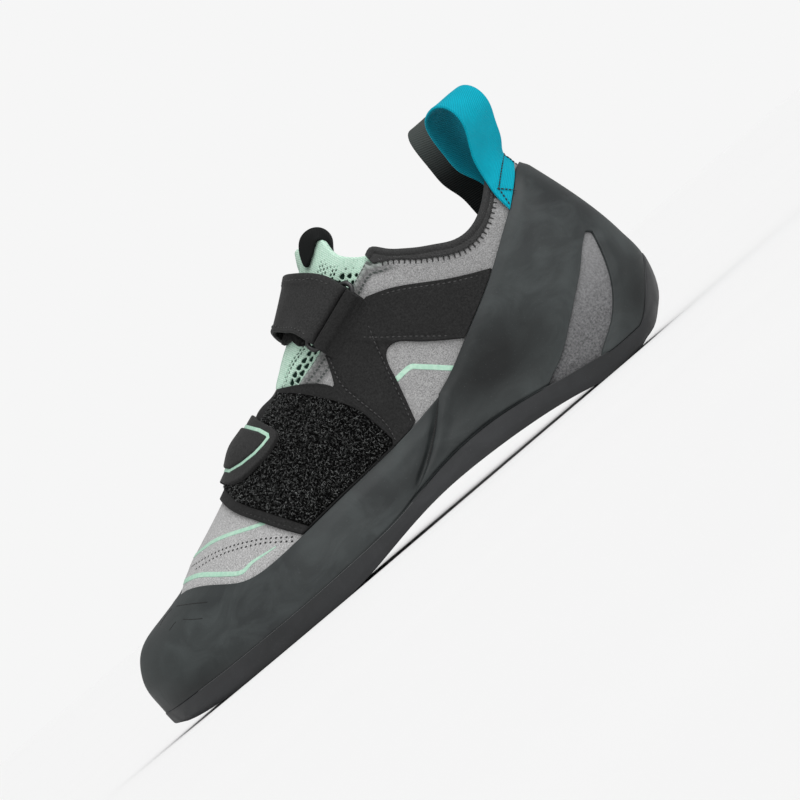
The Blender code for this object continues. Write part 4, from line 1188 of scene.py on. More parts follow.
TONGUE_OUTLINE = [(-27, 61.5), (-18, 63.2), (0, 69.4), (20, 76.5), (34, 81.5), (46, 85.4)]
TONGUE_TOP = [(44.2, 89.4), (42, 90.6), (40, 91.8), (36.9, 94.4), (34.9, 98), (34.8, 102.4), (34.4, 105.2),
              (32.4, 106.4), (29, 106.8), (25, 107.1), (-27, 107.1)]
TONGUE_TOP_INNER = [(44.2, 88.8), (42, 89.3), (39.2, 90.5), (35.8, 93.2), (33.5, 97), (31.6, 101),
                    (28.6, 104.6), (25, 107.1), (-27, 107.1)]

KNIT_HOLES = (
    # first row above the throat, pitch in a row, gap between rows, row numbers with sizes, share left out
    (1.1, 3.0, 1.95, (0, 1, 2, 3), (0.55, 0.64, 0.66, 0.0), 0.0),
    (7.7, 1.6, 1.1, (0, 1, 2), (0.3, 0.27, 0.0), 0.0),
    (10.2, 1.9, 1.25, (0, 4, 5), (0.3, 0.22, 0.0), 0.3),
)


def tongue_lift(spots):
    """The tongue lies under the upper and swells out through the throat, most where the patch ends."""
    above = spots[:, 2] - np.interp(spots[:, 0], *np.array(THROAT).T)
    full = (2.3 * hump(spots[:, 0] + 11.5, 4.5) + 1.5 * hump(spots[:, 0] + 4, 6.0)) * ease((above - 1.5) / 3)
    # The top's front corner stands up beside the loop
    corner = np.interp(spots[:, 2], (99, 101.5, 102.7, 104, 106), (0, -0.8, 0, 0.6, 1.4))
    corner = corner * ease((spots[:, 1] + 5) / 4) * ease((31 - spots[:, 0]) / 5)
    return -WALL - 0.2 - GAP + TONGUE_SWELL * ease((above - 2.5) / 6) + full + corner


def section_length(u):
    t = np.linspace(0, 1, 41)
    run = last_point(np.asarray(u)[:, None], t[None])
    return np.linalg.norm(np.diff(run, axis=1), axis=2).sum(1)


def tongue():
    sides = [inside(through(TONGUE_OUTLINE) + through(top[:-1]) + top[-1:])
             for top in (TONGUE_TOP, TONGUE_TOP_INNER)]

    def field(spots, normals):
        share = ease((spots[:, 1] + 3) / 6)
        return sides[0](spots, normals) * (1 - share) + sides[1](spots, normals) * share

    skin, d = trimmed(field, 2, (0.0, 0.05, 0.2, 0.45, 0.8))
    u, t = skin.places.T
    columns = np.linspace(0, 2 * LAST_ROW, 113)
    across = (1 - t) * np.interp(u, columns, section_length(columns)) * np.where(u > LAST_ROW, 1, -1)
    along = 0.94 * skin.spots[:, 0] + 0.337 * skin.spots[:, 2]
    throat = np.clip(IN_OPENING(skin.spots, skin.normals), -2, 40)
    from_top = nearest(TONGUE_TOP[:-1], skin.spots, skin.normals)[0]
    # Openings in staggered rows, wide along the throat, small further up, none in the ribbed top
    hole = np.zeros(len(throat))
    level = throat * 0.85
    for first, pitch, gap, rows, sizes, bare in KNIT_HOLES:
        row = np.maximum(np.round((level - first) / gap), 0)
        shift = np.where(row % 2 == 0, 0.0, 0.5)
        cell = np.round(along / pitch - shift)
        s, q = along - (cell + shift) * pitch, level - first - row * gap
        off = np.hypot(0.62 * s, q * (1 + 0.35 * s))
        chance = np.abs(np.sin(row * 12.9898 + cell * 78.233))
        size = np.interp(row, rows, sizes) * (0.8 + 0.3 * chance) * ease((from_top - 3.0) / 4)
        size = size * np.where(bare > 0, (chance > bare) * ease((skin.spots[:, 0] - 15) / 6), 1.0)
        hole = np.maximum(hole, np.clip((size - off) / 0.2 + 0.5, 0, 1) * (size > 0.04))
    rib = 0.07 * np.cos(across * math.tau / 1.3)
    lift = tongue_lift(skin.spots) - 1.0 * ease(hole) + rib - rounded(d, 0.8)
    inner = tongue_lift(skin.spots) - 1.9
    lift = np.maximum(lift, inner + 0.1)
    return solid("tongue_knit", skin.spots + skin.normals * lift[:, None],
                 skin.spots + skin.normals * inner[:, None], skin.tris, [KNIT, LINING],
                 {"edge": d, "along": along, "across": across, "hole": hole}, sharp=75)


fitted(tongue(), "knit", "tongue")


# Rubber rands

TOE_MARKS = (
    # line seen from the side, depth, width
    (((-80, 30), (-62, 22), (-40, 18)), -0.25, 6.0),
    (((-104, 28), (-96, 20), (-86, 14)), 0.3, 5.0),
    (((33, 36), (24, 28), (15, 20.8), (7, 16), (0, 12)), 1.3, 1.2),
    (((-12, 21), (4, 20), (14, 23)), -0.3, 4.0),
)
HEEL_MARKS = (
    (((34, 34.5), (26.8, 27.4), (17.6, 20), (8, 14.6), (2, 11.5)), -0.95, 1.7),
    (((40, 33), (31, 25.5), (22, 19)), 0.3, 2.2),
    (((55, 40), (72, 46), (90, 58)), -0.35, 6.0),
    (((44, 22), (58, 26), (74, 38)), 0.35, 6.0),
    (((112, 56), (105, 60), (96, 58)), -0.25, 4.0),
)


def toe_rand():
    # It runs on under the heel rand's leading edge
    rear = [(x + 3.0, z + 0.2) for x, z in through(HEEL_RAND_FRONT)]
    around_toe = rear + [(-130, -6), (-130, 70)]
    plain = inside([(-86, 70)] + through(TOE_RAND_TOP) + around_toe)
    shoulder = inside([(-91, 70)] + through(TOE_RAND_SHOULDER) + around_toe)

    def field(spots, normals):
        share = ease((spots[:, 1] - 3) / 16)
        return plain(spots, normals) * share + shoulder(spots, normals) * (1 - share)

    def height(u, t):
        x = last_point(u, t)[..., 0]
        return rand_height(u, t) - 0.35 * ease((x + 14) / 20)

    def front(spots, normals):
        away = np.linalg.norm(spots - np.array((-86.0, 10.5, 41.0)), axis=1)
        full = 1.1 * hump(spots[:, 2] - 21, 7.0) * ease((-normals[:, 0] - 0.4) / 0.4)
        return full - 0.55 * hump(away, 6.0)

    return layer("toe_rand_rubber", [RAND_RUBBER], field, 0.02, height, edge=0.45, fine=1,
                 reliefs=[trough(*row) for row in TOE_MARKS] + [front], taper=0.75, cuts=LIP_CUTS)


def heel_rand():
    outline = through(HEEL_RAND_TOP) + [(140, 81), (140, -6), (-5, -6)] + through(HEEL_RAND_FRONT)[::-1][:-1]
    window = inside(through(WINDOW_UPPER) + through(WINDOW_LOWER) + [(60, 2)])

    def field(spots, normals):
        hole = np.where(np.abs(spots[:, 1]) > 2, window(spots, normals), -9.0)
        return np.minimum(inside(outline)(spots, normals), -hole)

    return layer("heel_rand_rubber", [RAND_RUBBER], field, 0.02, rand_height, edge=0.4, fine=1,
                 reliefs=[trough(*row) for row in HEEL_MARKS], taper=0.8, taper_width=4.0, cuts=LIP_CUTS)


fitted(toe_rand(), "rand_rubber", "toe_rand")
fitted(heel_rand(), "rand_rubber", "heel_rand")


# Side-view paths put on the last

def side_tree(side):
    index = np.nonzero(BARE.normals[:, 1] * side > 0.03)[0]
    tree = kdtree.KDTree(len(index))
    for i in index:
        tree.insert((BARE.spots[i, 0], BARE.spots[i, 2], 0.0), i)
    tree.balance()
    return tree


TREES = {OUTER: side_tree(OUTER), INNER: side_tree(INNER)}


def laid(line, side=OUTER, away=0.0, step=0.5, smooth=True, start=0.0):
    """Spots and outward directions along a side-view line laid at a height on the last, from a length on."""
    line = np.array(through(line, 6) if smooth else line, float)[:, :2]
    knots = np.concatenate([[0], np.cumsum(np.linalg.norm(np.diff(line, axis=0), axis=1))])
    at = np.linspace(start, knots[-1], max(int((knots[-1] - start) / step), 2))
    flat = np.column_stack([np.interp(at, knots, line[:, k]) for k in (0, 1)])
    spots, normals, kept = np.zeros((len(flat), 3)), np.zeros((len(flat), 3)), np.ones(len(flat), bool)
    for i, (x, z) in enumerate(flat):
        aim = np.array((x, z))
        for _ in range(3):
            near = TREES[side].find((aim[0], aim[1], 0.0))[1]
            normal, base = BARE.normals[near], BARE.spots[near]
            aim = np.array((x - away * normal[0], z - away * normal[2]))
        dx, dz = aim[0] - base[0], aim[1] - base[2]
        dy = np.clip(-(normal[0] * dx + normal[2] * dz) / normal[1], -2, 2)
        spots[i], normals[i], kept[i] = base + (dx, dy, dz), normal, math.hypot(dx, dz) < 1.1
    spots, normals = spots[kept], normals[kept]
    for _ in range(2):
        normals[1:-1] = (normals[:-2] + 2 * normals[1:-1] + normals[2:]) / 4
    normals /= np.linalg.norm(normals, axis=1, keepdims=True)
    return spots + normals * away, normals


def shifted(line, by):
    """A side-view line moved sideways, to its left as it runs."""
    line = np.array(through(line, 4))[:, :2]
    along = np.gradient(line, axis=0)
    along /= np.linalg.norm(along, axis=1, keepdims=True)
    return line + np.column_stack([-along[:, 1], along[:, 0]]) * by


# Geometry Nodes trees for what repeats

def grown_tree(name, inputs):
    tree = bpy.data.node_groups.new(name, "GeometryNodeTree")
    tree.interface.new_socket("Geometry", in_out="INPUT", socket_type="NodeSocketGeometry")
    for key, kind in inputs:
        tree.interface.new_socket(key, in_out="INPUT", socket_type=kind)
    tree.interface.new_socket("Geometry", in_out="OUTPUT", socket_type="NodeSocketGeometry")
    return tree, tree.nodes.new("NodeGroupInput").outputs, tree.nodes.new("NodeGroupOutput")


def ended(tree, instances, look, out):
    whole = node(tree, "GeometryNodeRealizeInstances", {"Geometry": instances}).outputs[0]
    soft = node(tree, "GeometryNodeSetShadeSmooth", {"Geometry": whole}).outputs[0]
    named = node(tree, "GeometryNodeSetMaterial", {"Geometry": soft, "Material": look}).outputs[0]
    tree.links.new(named, out.inputs[0])


def row_tree():
    """Stitches, teeth or pinholes in a row along a path, upright on it and turned either way."""
    tree, given, out = grown_tree("stitch_row", (
        ("Spacing", "NodeSocketFloat"), ("Length", "NodeSocketFloat"), ("Width", "NodeSocketFloat"),
        ("Height", "NodeSocketFloat"), ("Turn", "NodeSocketFloat"), ("Zigzag", "NodeSocketFloat"),
        ("Material", "NodeSocketMaterial")))
    path = node(tree, "GeometryNodeMeshToCurve", {"Mesh": given["Geometry"]}).outputs[0]
    path = node(tree, "GeometryNodeResampleCurve", {"Curve": path, "Length": given["Spacing"]},
                mode="LENGTH").outputs[0]
    outward = node(tree, "GeometryNodeInputNamedAttribute", {"Name": "outward"},
                   data_type="FLOAT_VECTOR").outputs[0]
    tangent = node(tree, "GeometryNodeInputTangent").outputs[0]
    stand = node(tree, "FunctionNodeAlignRotationToVector", {"Vector": outward}, axis="Z").outputs[0]
    face = node(tree, "FunctionNodeAlignRotationToVector", {"Rotation": stand, "Vector": tangent}, axis="X",
                pivot_axis="Z").outputs[0]
    index = node(tree, "GeometryNodeInputIndex").outputs[0]
    odd = times(tree, sum_of(tree, "SUBTRACT", sum_of(tree, "MODULO", index, 2.0), 0.5), 2.0)
    angle = sum_of(tree, "ADD", given["Turn"], times(tree, odd, given["Zigzag"]))
    by = node(tree, "ShaderNodeCombineXYZ", {2: angle}).outputs[0]
    by = node(tree, "FunctionNodeEulerToRotation", {"Euler": by}).outputs[0]
    turned = node(tree, "FunctionNodeRotateRotation", {"Rotation": face, "Rotate By": by},
                  rotation_space="LOCAL").outputs[0]
    grain = node(tree, "GeometryNodeMeshUVSphere", {"Segments": 6, "Rings": 5, "Radius": 0.5}).outputs[0]
    sizes = node(tree, "ShaderNodeCombineXYZ", {0: given["Length"], 1: given["Width"],
                                                2: given["Height"]}).outputs[0]
    grains = node(tree, "GeometryNodeInstanceOnPoints",
                  {"Points": path, "Instance": grain, "Rotation": turned, "Scale": sizes}).outputs[0]
    ended(tree, grains, given["Material"], out)
    return tree


def pile_tree():
    """Curled fibres scattered over a face."""
    tree, given, out = grown_tree("loop_pile", (
        ("Density", "NodeSocketFloat"), ("Curl", "NodeSocketFloat"), ("Fibre", "NodeSocketFloat"),
        ("Seed", "NodeSocketInt"), ("Material", "NodeSocketMaterial")))
    spread = node(tree, "GeometryNodeDistributePointsOnFaces",
                  {"Mesh": given["Geometry"], "Density": given["Density"], "Seed": given["Seed"]})
    start = node(tree, "GeometryNodeCurveSpiral", {"Resolution": 6, "Rotations": 0.95, "Start Radius": 0.36,
                                                   "End Radius": 0.5, "Height": 0.35}).outputs[0]
    thread = node(tree, "GeometryNodeCurvePrimitiveCircle",
                  {"Resolution": 3, "Radius": given["Fibre"]}).outputs[0]
    curl = node(tree, "GeometryNodeCurveToMesh", {"Curve": start, "Profile Curve": thread}).outputs[0]
    low, high = (-1.0, -1.0, -3.1), (1.0, 1.0, 3.1)
    tilt = node(tree, "FunctionNodeRandomValue", {0: low, 1: high, "Seed": given["Seed"]},
                data_type="FLOAT_VECTOR")
    upright = node(tree, "FunctionNodeEulerToRotation", {"Euler": (math.pi / 2, 0.0, 0.0)}).outputs[0]
    tilt = node(tree, "FunctionNodeEulerToRotation", {"Euler": tilt.outputs[0]}).outputs[0]
    turn = node(tree, "FunctionNodeRotateRotation", {"Rotation": spread.outputs["Rotation"],
                                                     "Rotate By": tilt}, rotation_space="LOCAL").outputs[0]
    turn = node(tree, "FunctionNodeRotateRotation", {"Rotation": turn, "Rotate By": upright},
                rotation_space="LOCAL").outputs[0]
    size = node(tree, "FunctionNodeRandomValue", {2: 0.7, 3: 1.25, "Seed": given["Seed"]}, data_type="FLOAT")
    size = times(tree, size.outputs[1], given["Curl"])
    curls = node(tree, "GeometryNodeInstanceOnPoints", {"Points": spread.outputs["Points"], "Instance": curl,
                                                        "Rotation": turn, "Scale": size}).outputs[0]
    tone = node(tree, "FunctionNodeRandomValue", {2: 0.0, 3: 1.0, "Seed": 3}, data_type="FLOAT").outputs[1]
    curls = node(tree, "GeometryNodeStoreNamedAttribute", {"Geometry": curls, "Name": "tone", "Value": tone},
                 data_type="FLOAT", domain="INSTANCE").outputs[0]
    ended(tree, curls, given["Material"], out)
    return tree


ROW_TREE, PILE_TREE = row_tree(), pile_tree()


def grown(name, host, tree, values):
    """What a tree grows on the host mesh, as a plain mesh of its own. The host goes."""
    sockets = {item.name: item.identifier for item in tree.interface.items_tree
               if item.item_type == "SOCKET" and item.in_out == "INPUT"}
    change = host.modifiers.new(name, "NODES")
    change.node_group = tree
    for key, value in values.items():
        change[sockets[key]] = value
    bpy.context.view_layer.update()
    graph = bpy.context.evaluated_depsgraph_get()
    mesh = bpy.data.meshes.new_from_object(host.evaluated_get(graph))
    mesh.name = name
    bpy.data.objects.remove(host)
    piece = bpy.data.objects.new(name, mesh)
    bpy.context.scene.collection.objects.link(piece)
    return piece


def path_host(name, paths):
    """A mesh of loose lines whose points know which way is outward."""
    spots, edges, outward = [], [], []
    for line, normals in paths:
        start = len(spots)
        spots += metres(line).tolist()
        outward += normals.tolist()
        edges += [(start + i, start + i + 1) for i in range(len(line) - 1)]
    mesh = bpy.data.meshes.new(name)
    mesh.from_pydata(spots, edges, [])
    mesh.attributes.new("outward", "FLOAT_VECTOR", "POINT").data.foreach_set("vector", np.ravel(outward))
    host = bpy.data.objects.new(name, mesh)
    bpy.context.scene.collection.objects.link(host)
    return host


def stitched(name, paths, look, slot, spacing=2.0, length=1.45, width=0.42, height=0.36, turn=0.0,
             zigzag=0.0):
    values = {"Spacing": spacing * MM, "Length": length * MM, "Width": width * MM, "Height": height * MM,
              "Turn": turn, "Zigzag": zigzag, "Material": look}
    return fitted(grown(name, path_host(name + "_path", paths), ROW_TREE, values), slot)


# Fastener patch with its pile

PATCH_TOP = 1.5


def patch_height(u, t):
    x = last_point(u, t)[..., 0]
    return PATCH_TOP + (1.2 * hump(x + 21.5, 4.5) - 0.75 * ease((x + 19) / 7)) * ease((t - 0.87) / 0.1)


def off_crest(spots, normals):
    """How far the pile stays from the crest, further behind the tab."""
    return 6.5 - 11.5 * ease((spots[:, 0] + 33) / 9) - spots[:, 1]


ROW_FRONT = [tuple(p) for p in shifted(PATCH_EDGE, 1.3)][5:]
ROW_REAR = [tuple(p) for p in shifted(PATCH_REAR, 1.2)]


def stretch(edge, start, end, above=0.15):
    """The part of a smooth edge between two x places, a little above it, in that order."""
    run = [(x, z + above) for x, z in through(edge)]
    within = [p for p in run if min(start, end) < p[0] < max(start, end)]
    return within if start < end else within[::-1]


def fastener_patch():
    outline = [(-54, 95)] + through(PATCH_EDGE) + stretch(TOE_RAND_TOP, -38.2, 8.0)
    outline += through(PATCH_REAR) + [(-12, 95)]
    field = both(inside(outline), on_side(OUTER, 12.0))
    return layer("patch_margin", [MICROFIBRE], field, 0.03, patch_height, edge=0.5, fine=1,
                 reliefs=[trough(ROW_FRONT, 0.2, 0.5), trough(ROW_REAR, 0.2, 0.5)])


PILE_OUTLINE = [(-50, 95)] + through(PILE_FRONT) + stretch(TOE_RAND_TOP, -34, 7.6, 0.7)
PILE_OUTLINE += through(PILE_REAR) + [(-13, 95)]
PILE_FIELD = both(inside(PILE_OUTLINE), off_crest)


def pile_ground():
    def lumps(spots, normals):
        wave = np.sin(spots[:, 0] * 2.1 + 1.3 * np.sin(spots[:, 2] * 1.7))
        return 0.14 * (wave * np.sin(spots[:, 2] * 2.3 + spots[:, 1]))
    return layer("pile_ground", [PILE_GROUND], PILE_FIELD, PATCH_TOP + 0.02, PATCH_TOP + 0.35, edge=0.3,
                 fine=1, reliefs=[lumps])


def pile_loops():
    skin, d = trimmed(PILE_FIELD, 0, (0.3,), height=PATCH_TOP + 0.4)
    skin = skin.part((d[skin.tris] > 0.29).all(1))
    spots = skin.spots + skin.normals * (PATCH_TOP + 0.4)
    host = mesh_piece("pile_host", spots, skin.tris.tolist(), [])
    area = 0.5 * np.linalg.norm(np.cross(spots[skin.tris[:, 1]] - spots[skin.tris[:, 0]],
                                         spots[skin.tris[:, 2]] - spots[skin.tris[:, 0]]), axis=1).sum()
    count = 6200
    values = {"Density": count / (area * MM * MM), "Curl": 0.82 * MM, "Fibre": 0.1, "Seed": 7,
              "Material": PILE_LOOPS}
    return grown("pile_loops", host, PILE_TREE, values)


fitted(fastener_patch(), "microfibre", "fastener_patch")
fitted(pile_ground(), "loop_pile")
fitted(pile_loops(), "loop_pile")


# Side overlays

OVERLAY_FRONT = [(x - 1.2, z) for x, z in through(PATCH_REAR[:5])]
OVERLAY_FRONT_TOP = [(4.6, 61.4), (6.2, 64.8), (7.6, 68.2), (8.8, 71.4)]
SEAM_TOP = [tuple(p) for p in shifted(OVERLAY_REAR_TOP, -1.5)]
SEAM_ARM = [(19.6, 71), (24, 67.2), (27.4, 64.2), (31.5, 60.9), (37.2, 56.4), (45, 49.9), (51.5, 45.2)]
SEAM_FRONT_ARM = [(28.2, 74.8), (27.9, 70), (26.6, 66), (25.2, 62), (23.9, 57), (22.1, 51), (20.1, 43),
                  (17.6, 34)]
SEAM_PATCH = [(8.9, 32.4), (9.9, 38), (9, 46), (7.4, 54), (7, 61), (8.3, 65.4), (9.4, 69.5)]
OVERLAY_SEAMS = (SEAM_TOP, SEAM_ARM, SEAM_FRONT_ARM, SEAM_PATCH)
ARM_EDGE = inside([(13, 74.5), (18.4, 70.2), (23, 66), (26.6, 62.6), (30.2, 59.4), (36, 54.6), (44, 48.2),
                   (60, 36), (90, 60), (33, 95)])


def arm_step(spots, normals):
    return 0.4 * ease(0.5 + ARM_EDGE(spots, normals) / 0.7) - 0.2


def side_overlay_outer():
    outline = through(OVERLAY_REAR_TOP) + stretch(HEEL_RAND_TOP, 74, 52) + through(OVERLAY_NOTCH)
    outline += stretch(TOE_RAND_TOP, 17.5, 6.5, 0.0) + OVERLAY_FRONT + OVERLAY_FRONT_TOP
    return layer("side_overlay", [MICROFIBRE], both(inside(outline), on_side(OUTER)), 0.03, GAP + 0.9,
                 edge=0.5, fine=1, reliefs=sunk(OVERLAY_SEAMS, 0.25, 0.6) + [arm_step])


INNER_OVERLAY_FRONT = ((35, 37.4), (27, 47), (18, 58), (10, 69.5))


def side_overlay_inner():
    outline = through(OVERLAY_REAR_TOP) + stretch(HEEL_RAND_TOP, 74, 37) + through(INNER_OVERLAY_FRONT)
    return layer("side_overlay_inside", [MICROFIBRE], both(inside(outline), on_side(INNER)), 0.03,
                 GAP + OVERLAY, edge=0.5, fine=1, reliefs=[trough(SEAM_TOP, 0.22, 0.55, INNER)])


fitted(side_overlay_outer(), "microfibre", "side_overlay_outer")
fitted(side_overlay_inner(), "microfibre", "side_overlay_inner")


# Lower strap and its tab

PATCH = 1.6


def strap_lift(u, t):
    """How far the lower strap runs above the last: on the inner side it comes down onto the upper."""
    f = ease((t - 0.4) / 0.35)
    low, high = 0.05, GAP + PATCH + GAP
    return np.where(u > LAST_ROW, low + (high - low) * f, high)


STRAP_END = inside([(-50.5, 95)] + through(TAB_END) + [(-25, 70.5), (-25, 95)])
STRAP_FOOT = inside([(-50.5, 95), (-50.5, 63)] + stretch(TOE_RAND_TOP, -42, -18) + [(-25, 71), (-25, 95)])


def strap_field(spots, normals):
    return np.where(spots[:, 1] < 5, STRAP_END(spots, normals), STRAP_FOOT(spots, normals))


def lower_strap():
    return layer("lower_strap_cloth", [STRAP_CLOTH, HOOKS], strap_field, strap_lift,
                 lambda u, t: strap_lift(u, t) + STRAP + 0.25, edge=0.6, fine=1)


TAB_BASE = GAP + PATCH + GAP + STRAP + 0.25


def strap_tab():
    return layer("strap_tab_panel", [STRAP_CLOTH], both(inside(TAB_PANEL), on_side(OUTER, 6.0)),
                 TAB_BASE - 0.05, TAB_BASE + 0.8, edge=0.8, fine=1,
                 reliefs=[lambda spots, normals: (1.5 * hump(spots[:, 0] + 38.5, 6.0)
                                                  * ease((spots[:, 2] - 61) / 5))])


fitted(lower_strap(), "strap_cloth", "lower_strap")
fitted(strap_tab(), "strap_cloth", "strap_tab")


# Mint lines

def on_upper(name, field):
    """A thin film that follows the upper's creases."""
    skin, d = trimmed(field, 2, (0.0, 0.05, 0.12))
    rise = upper_relief(skin.spots, skin.normals)
    outer = skin.spots + skin.normals * (rise + 0.03 + 0.12 * ease(d / 0.12))[:, None]
    inner = skin.spots + skin.normals * (rise - 0.1)[:, None]
    return fitted(solid(name, outer, inner, skin.tris, [MINT_FILM], {"edge": d}), "knit")


TOE_FREE = beyond(inside([(-54.4, 95)] + through(PATCH_EDGE) + stretch(TOE_RAND_TOP, -38, 8) + [(8, 95)]))
for mint_name, mint_points in (("toe_line_upper", TOE_LINE_UPPER), ("toe_line_lower", TOE_LINE_LOWER)):
    on_upper(mint_name, both(thinned(stroke(mint_points), 10.0, 17.0), TOE_FREE))
on_upper("side_line", stroke(SIDE_LINE))
fitted(layer("tab_line", [MINT_FILM], both(stroke([(x, z, 1.4) for x, z in TAB_LINE], smooth=False),
                                           on_side(OUTER, 5.5)), TAB_BASE - 0.02, TAB_BASE + 0.2, edge=0.12,
             fine=3), "knit")


# Ring on the outer side, with its keeper below and the upper strap folded through it

RING_X, RING_Z = 20.3, 79.3
RING_ENDS = ((9.5, 75.6), (31.0, 83.0))
RING_HALF_LENGTH = 13.4
RING_HALF_WIDTH = 2.8
RING_WIRE = 0.9
RING_LIFT = 3.4
BAR_ROOM = 0.3
KEEPER_CLOTH = 1.2
STRAP_HALF_WIDTH = 12.0


def ring_frame():
    near, far = (on_last(*place(x, z)) for x, z in RING_ENDS)
    u, t = place(RING_X, RING_Z)
    along = (far - near) / np.linalg.norm(far - near)
    out = last_normal(u, t)
    out = out - along * out.dot(along)
    out /= np.linalg.norm(out)
    up = np.cross(along, out)
    up *= np.sign(up[2])
    return on_last(u, t), along, up, out


RING_CENTRE, RING_ALONG, RING_UP, RING_OUT = ring_frame()


def by_ring(along, up, out):
    return RING_CENTRE + RING_ALONG * along + RING_UP * up + RING_OUT * out


def strap_ring():
    corner = RING_HALF_WIDTH - 0.4
    line = []
    for sx, sy, start in ((1, -1, -90), (1, 1, 0), (-1, 1, 90), (-1, -1, 180)):
        for k in range(9):
            angle = math.radians(start + 11.25 * k)
            line.append((sx * (RING_HALF_LENGTH - corner) + corner * math.cos(angle),
                         sy * (RING_HALF_WIDTH - corner) + corner * math.sin(angle)))
    line = np.array(line)
    ahead = np.roll(line, -1, 0) - np.roll(line, 1, 0)
    ahead /= np.linalg.norm(ahead, axis=1, keepdims=True)
    sides = 16
    spots = []
    for (x, y), (dx, dy) in zip(line, ahead):
        for k in range(sides):
            turn = math.tau * k / sides
            across, lift = RING_WIRE * math.cos(turn), RING_WIRE * math.sin(turn)
            spots.append(by_ring(x + dy * across, y - dx * across, RING_LIFT + lift))
    n = len(line)
    faces = [[i * sides + k, i * sides + (k + 1) % sides, (i + 1) % n * sides + (k + 1) % sides,
              (i + 1) % n * sides + k] for i in range(n) for k in range(sides)]
    piece = mesh_piece("ring", spots, faces, [RING_PLASTIC])
    body = bmesh.new()
    body.from_mesh(piece.data)
    bmesh.ops.recalc_face_normals(body, faces=body.faces)
    body.to_mesh(piece.data)
    body.free()
    return piece


def ring_keeper():
    """A strip folded round the ring's lower bar, both its tails flat on the overlay."""
    hole = RING_WIRE + BAR_ROOM + KEEPER_CLOTH / 2
    section = [(-6.9, 1.3), (-6.0, 1.6)]
    for k in range(9):
        angle = math.radians(-125 + 31.25 * k)
        section.append((-RING_HALF_WIDTH + hole * math.cos(angle), RING_LIFT + hole * math.sin(angle)))
    section.append((-5.2, 4.15))
    ends = np.linspace(-STRAP_HALF_WIDTH, STRAP_HALF_WIDTH, 5)
    rows = [[by_ring(end, *spot) for end in ends] for spot in section]
    for up, away in ((-6.6, 2.9), (-7.8, 1.75), (-9.2, 0.95), (-10.6, 0.4)):
        flat = [by_ring(end, up, 1.5) for end in ends]
        rows.append([on_last(*place(spot[0], spot[2]), away) for spot in flat])
    return ribbon("keeper", np.array(rows), KEEPER_CLOTH, [MICROFIBRE], 70, 30)[0]


def upper_strap_grid():
    """From the inner side over the tongue, round the ring's upper bar, and back over itself."""
    turn = RING_WIRE + BAR_ROOM + STRAP / 2
    grid = []
    for w in np.linspace(-1, 1, 5) * STRAP_HALF_WIDTH:
        slack = 0.05 * (STRAP_HALF_WIDTH - w)
        left = (STRAP_HALF_WIDTH - w) / (2 * STRAP_HALF_WIDTH)
        ring_x, ring_z = RING_X + 0.93 * w, RING_Z + 0.32 * w
        ring_t = place(ring_x, ring_z)[1]

        def over(f, away, side, shift=0.0):
            crest_x = 10.3 + 0.72 * w + shift * left
            slant = math.hypot(f, 0.3) - 0.3
            lean = slant / (math.hypot(1, 0.3) - 0.3) if side == OUTER else slant * 0.7
            x = crest_x + (ring_x - crest_x) * lean
            t = 1 - (1 - ring_t) * f
            u = place(x, 60, side)[0]
            return on_last(u, t, away)

        run = [over(1.29 + 0.03 * left + 0.18 * left ** 2, 2.2, INNER)]
        run += [over(f * (1 - 0.2 * left), away, INNER) for f, away in ((1.1, 2.5), (0.7, 2.3), (0.35, 1.9))]
        run += [over(0, 1.3, OUTER, -0.8), over(0.3, 1.5, OUTER, -1.3), over(0.55, 1.8, OUTER, -1.0)]
        run.append(by_ring(w - 2.0 * left, 4.2, RING_LIFT - turn + 0.15))
        for k in range(7):
            angle = math.radians(-90 - 30 * k)
            run.append(by_ring(w, RING_HALF_WIDTH + turn * math.cos(angle),
                               RING_LIFT + turn * math.sin(angle)))
        run.append(by_ring(w, 5.4, RING_LIFT + turn + 0.1))
        run += [over(0.5, 5.0, OUTER, 2.4), over(0.25, 4.1 + 1.4 * slack, OUTER, 2.2)]
        run += [over(0, 3.4 + 1.8 * slack, OUTER, 1.4)]
        run += [over(f, away, INNER, shift)
                for f, away, shift in ((0.3, 4.0, -0.4), (0.7, 4.9, -0.5), (1.05, 5.0, 0.5))]
        grid.append(run)
    return np.array(grid).transpose(1, 0, 2)


fitted(strap_ring(), "black_plastic", "strap_ring")
fitted(ring_keeper(), "microfibre", "ring_keeper")
STRAP_GRID = upper_strap_grid()
strap_piece, strap_spots, strap_norms, strap_half = ribbon(
    "upper_strap_cloth", STRAP_GRID, STRAP, [HOOKS, STRAP_CLOTH], 220, 40, hems=(2.6, 4.0))
for strap_face in strap_piece.data.polygons:
    if strap_face.center.y > 0.006:
        strap_face.material_index = 1
fitted(strap_piece, "strap_cloth", "upper_strap")


# Webbing loops to pull the shoe on

HEEL_LOOP_HALF_WIDTH = 8.2


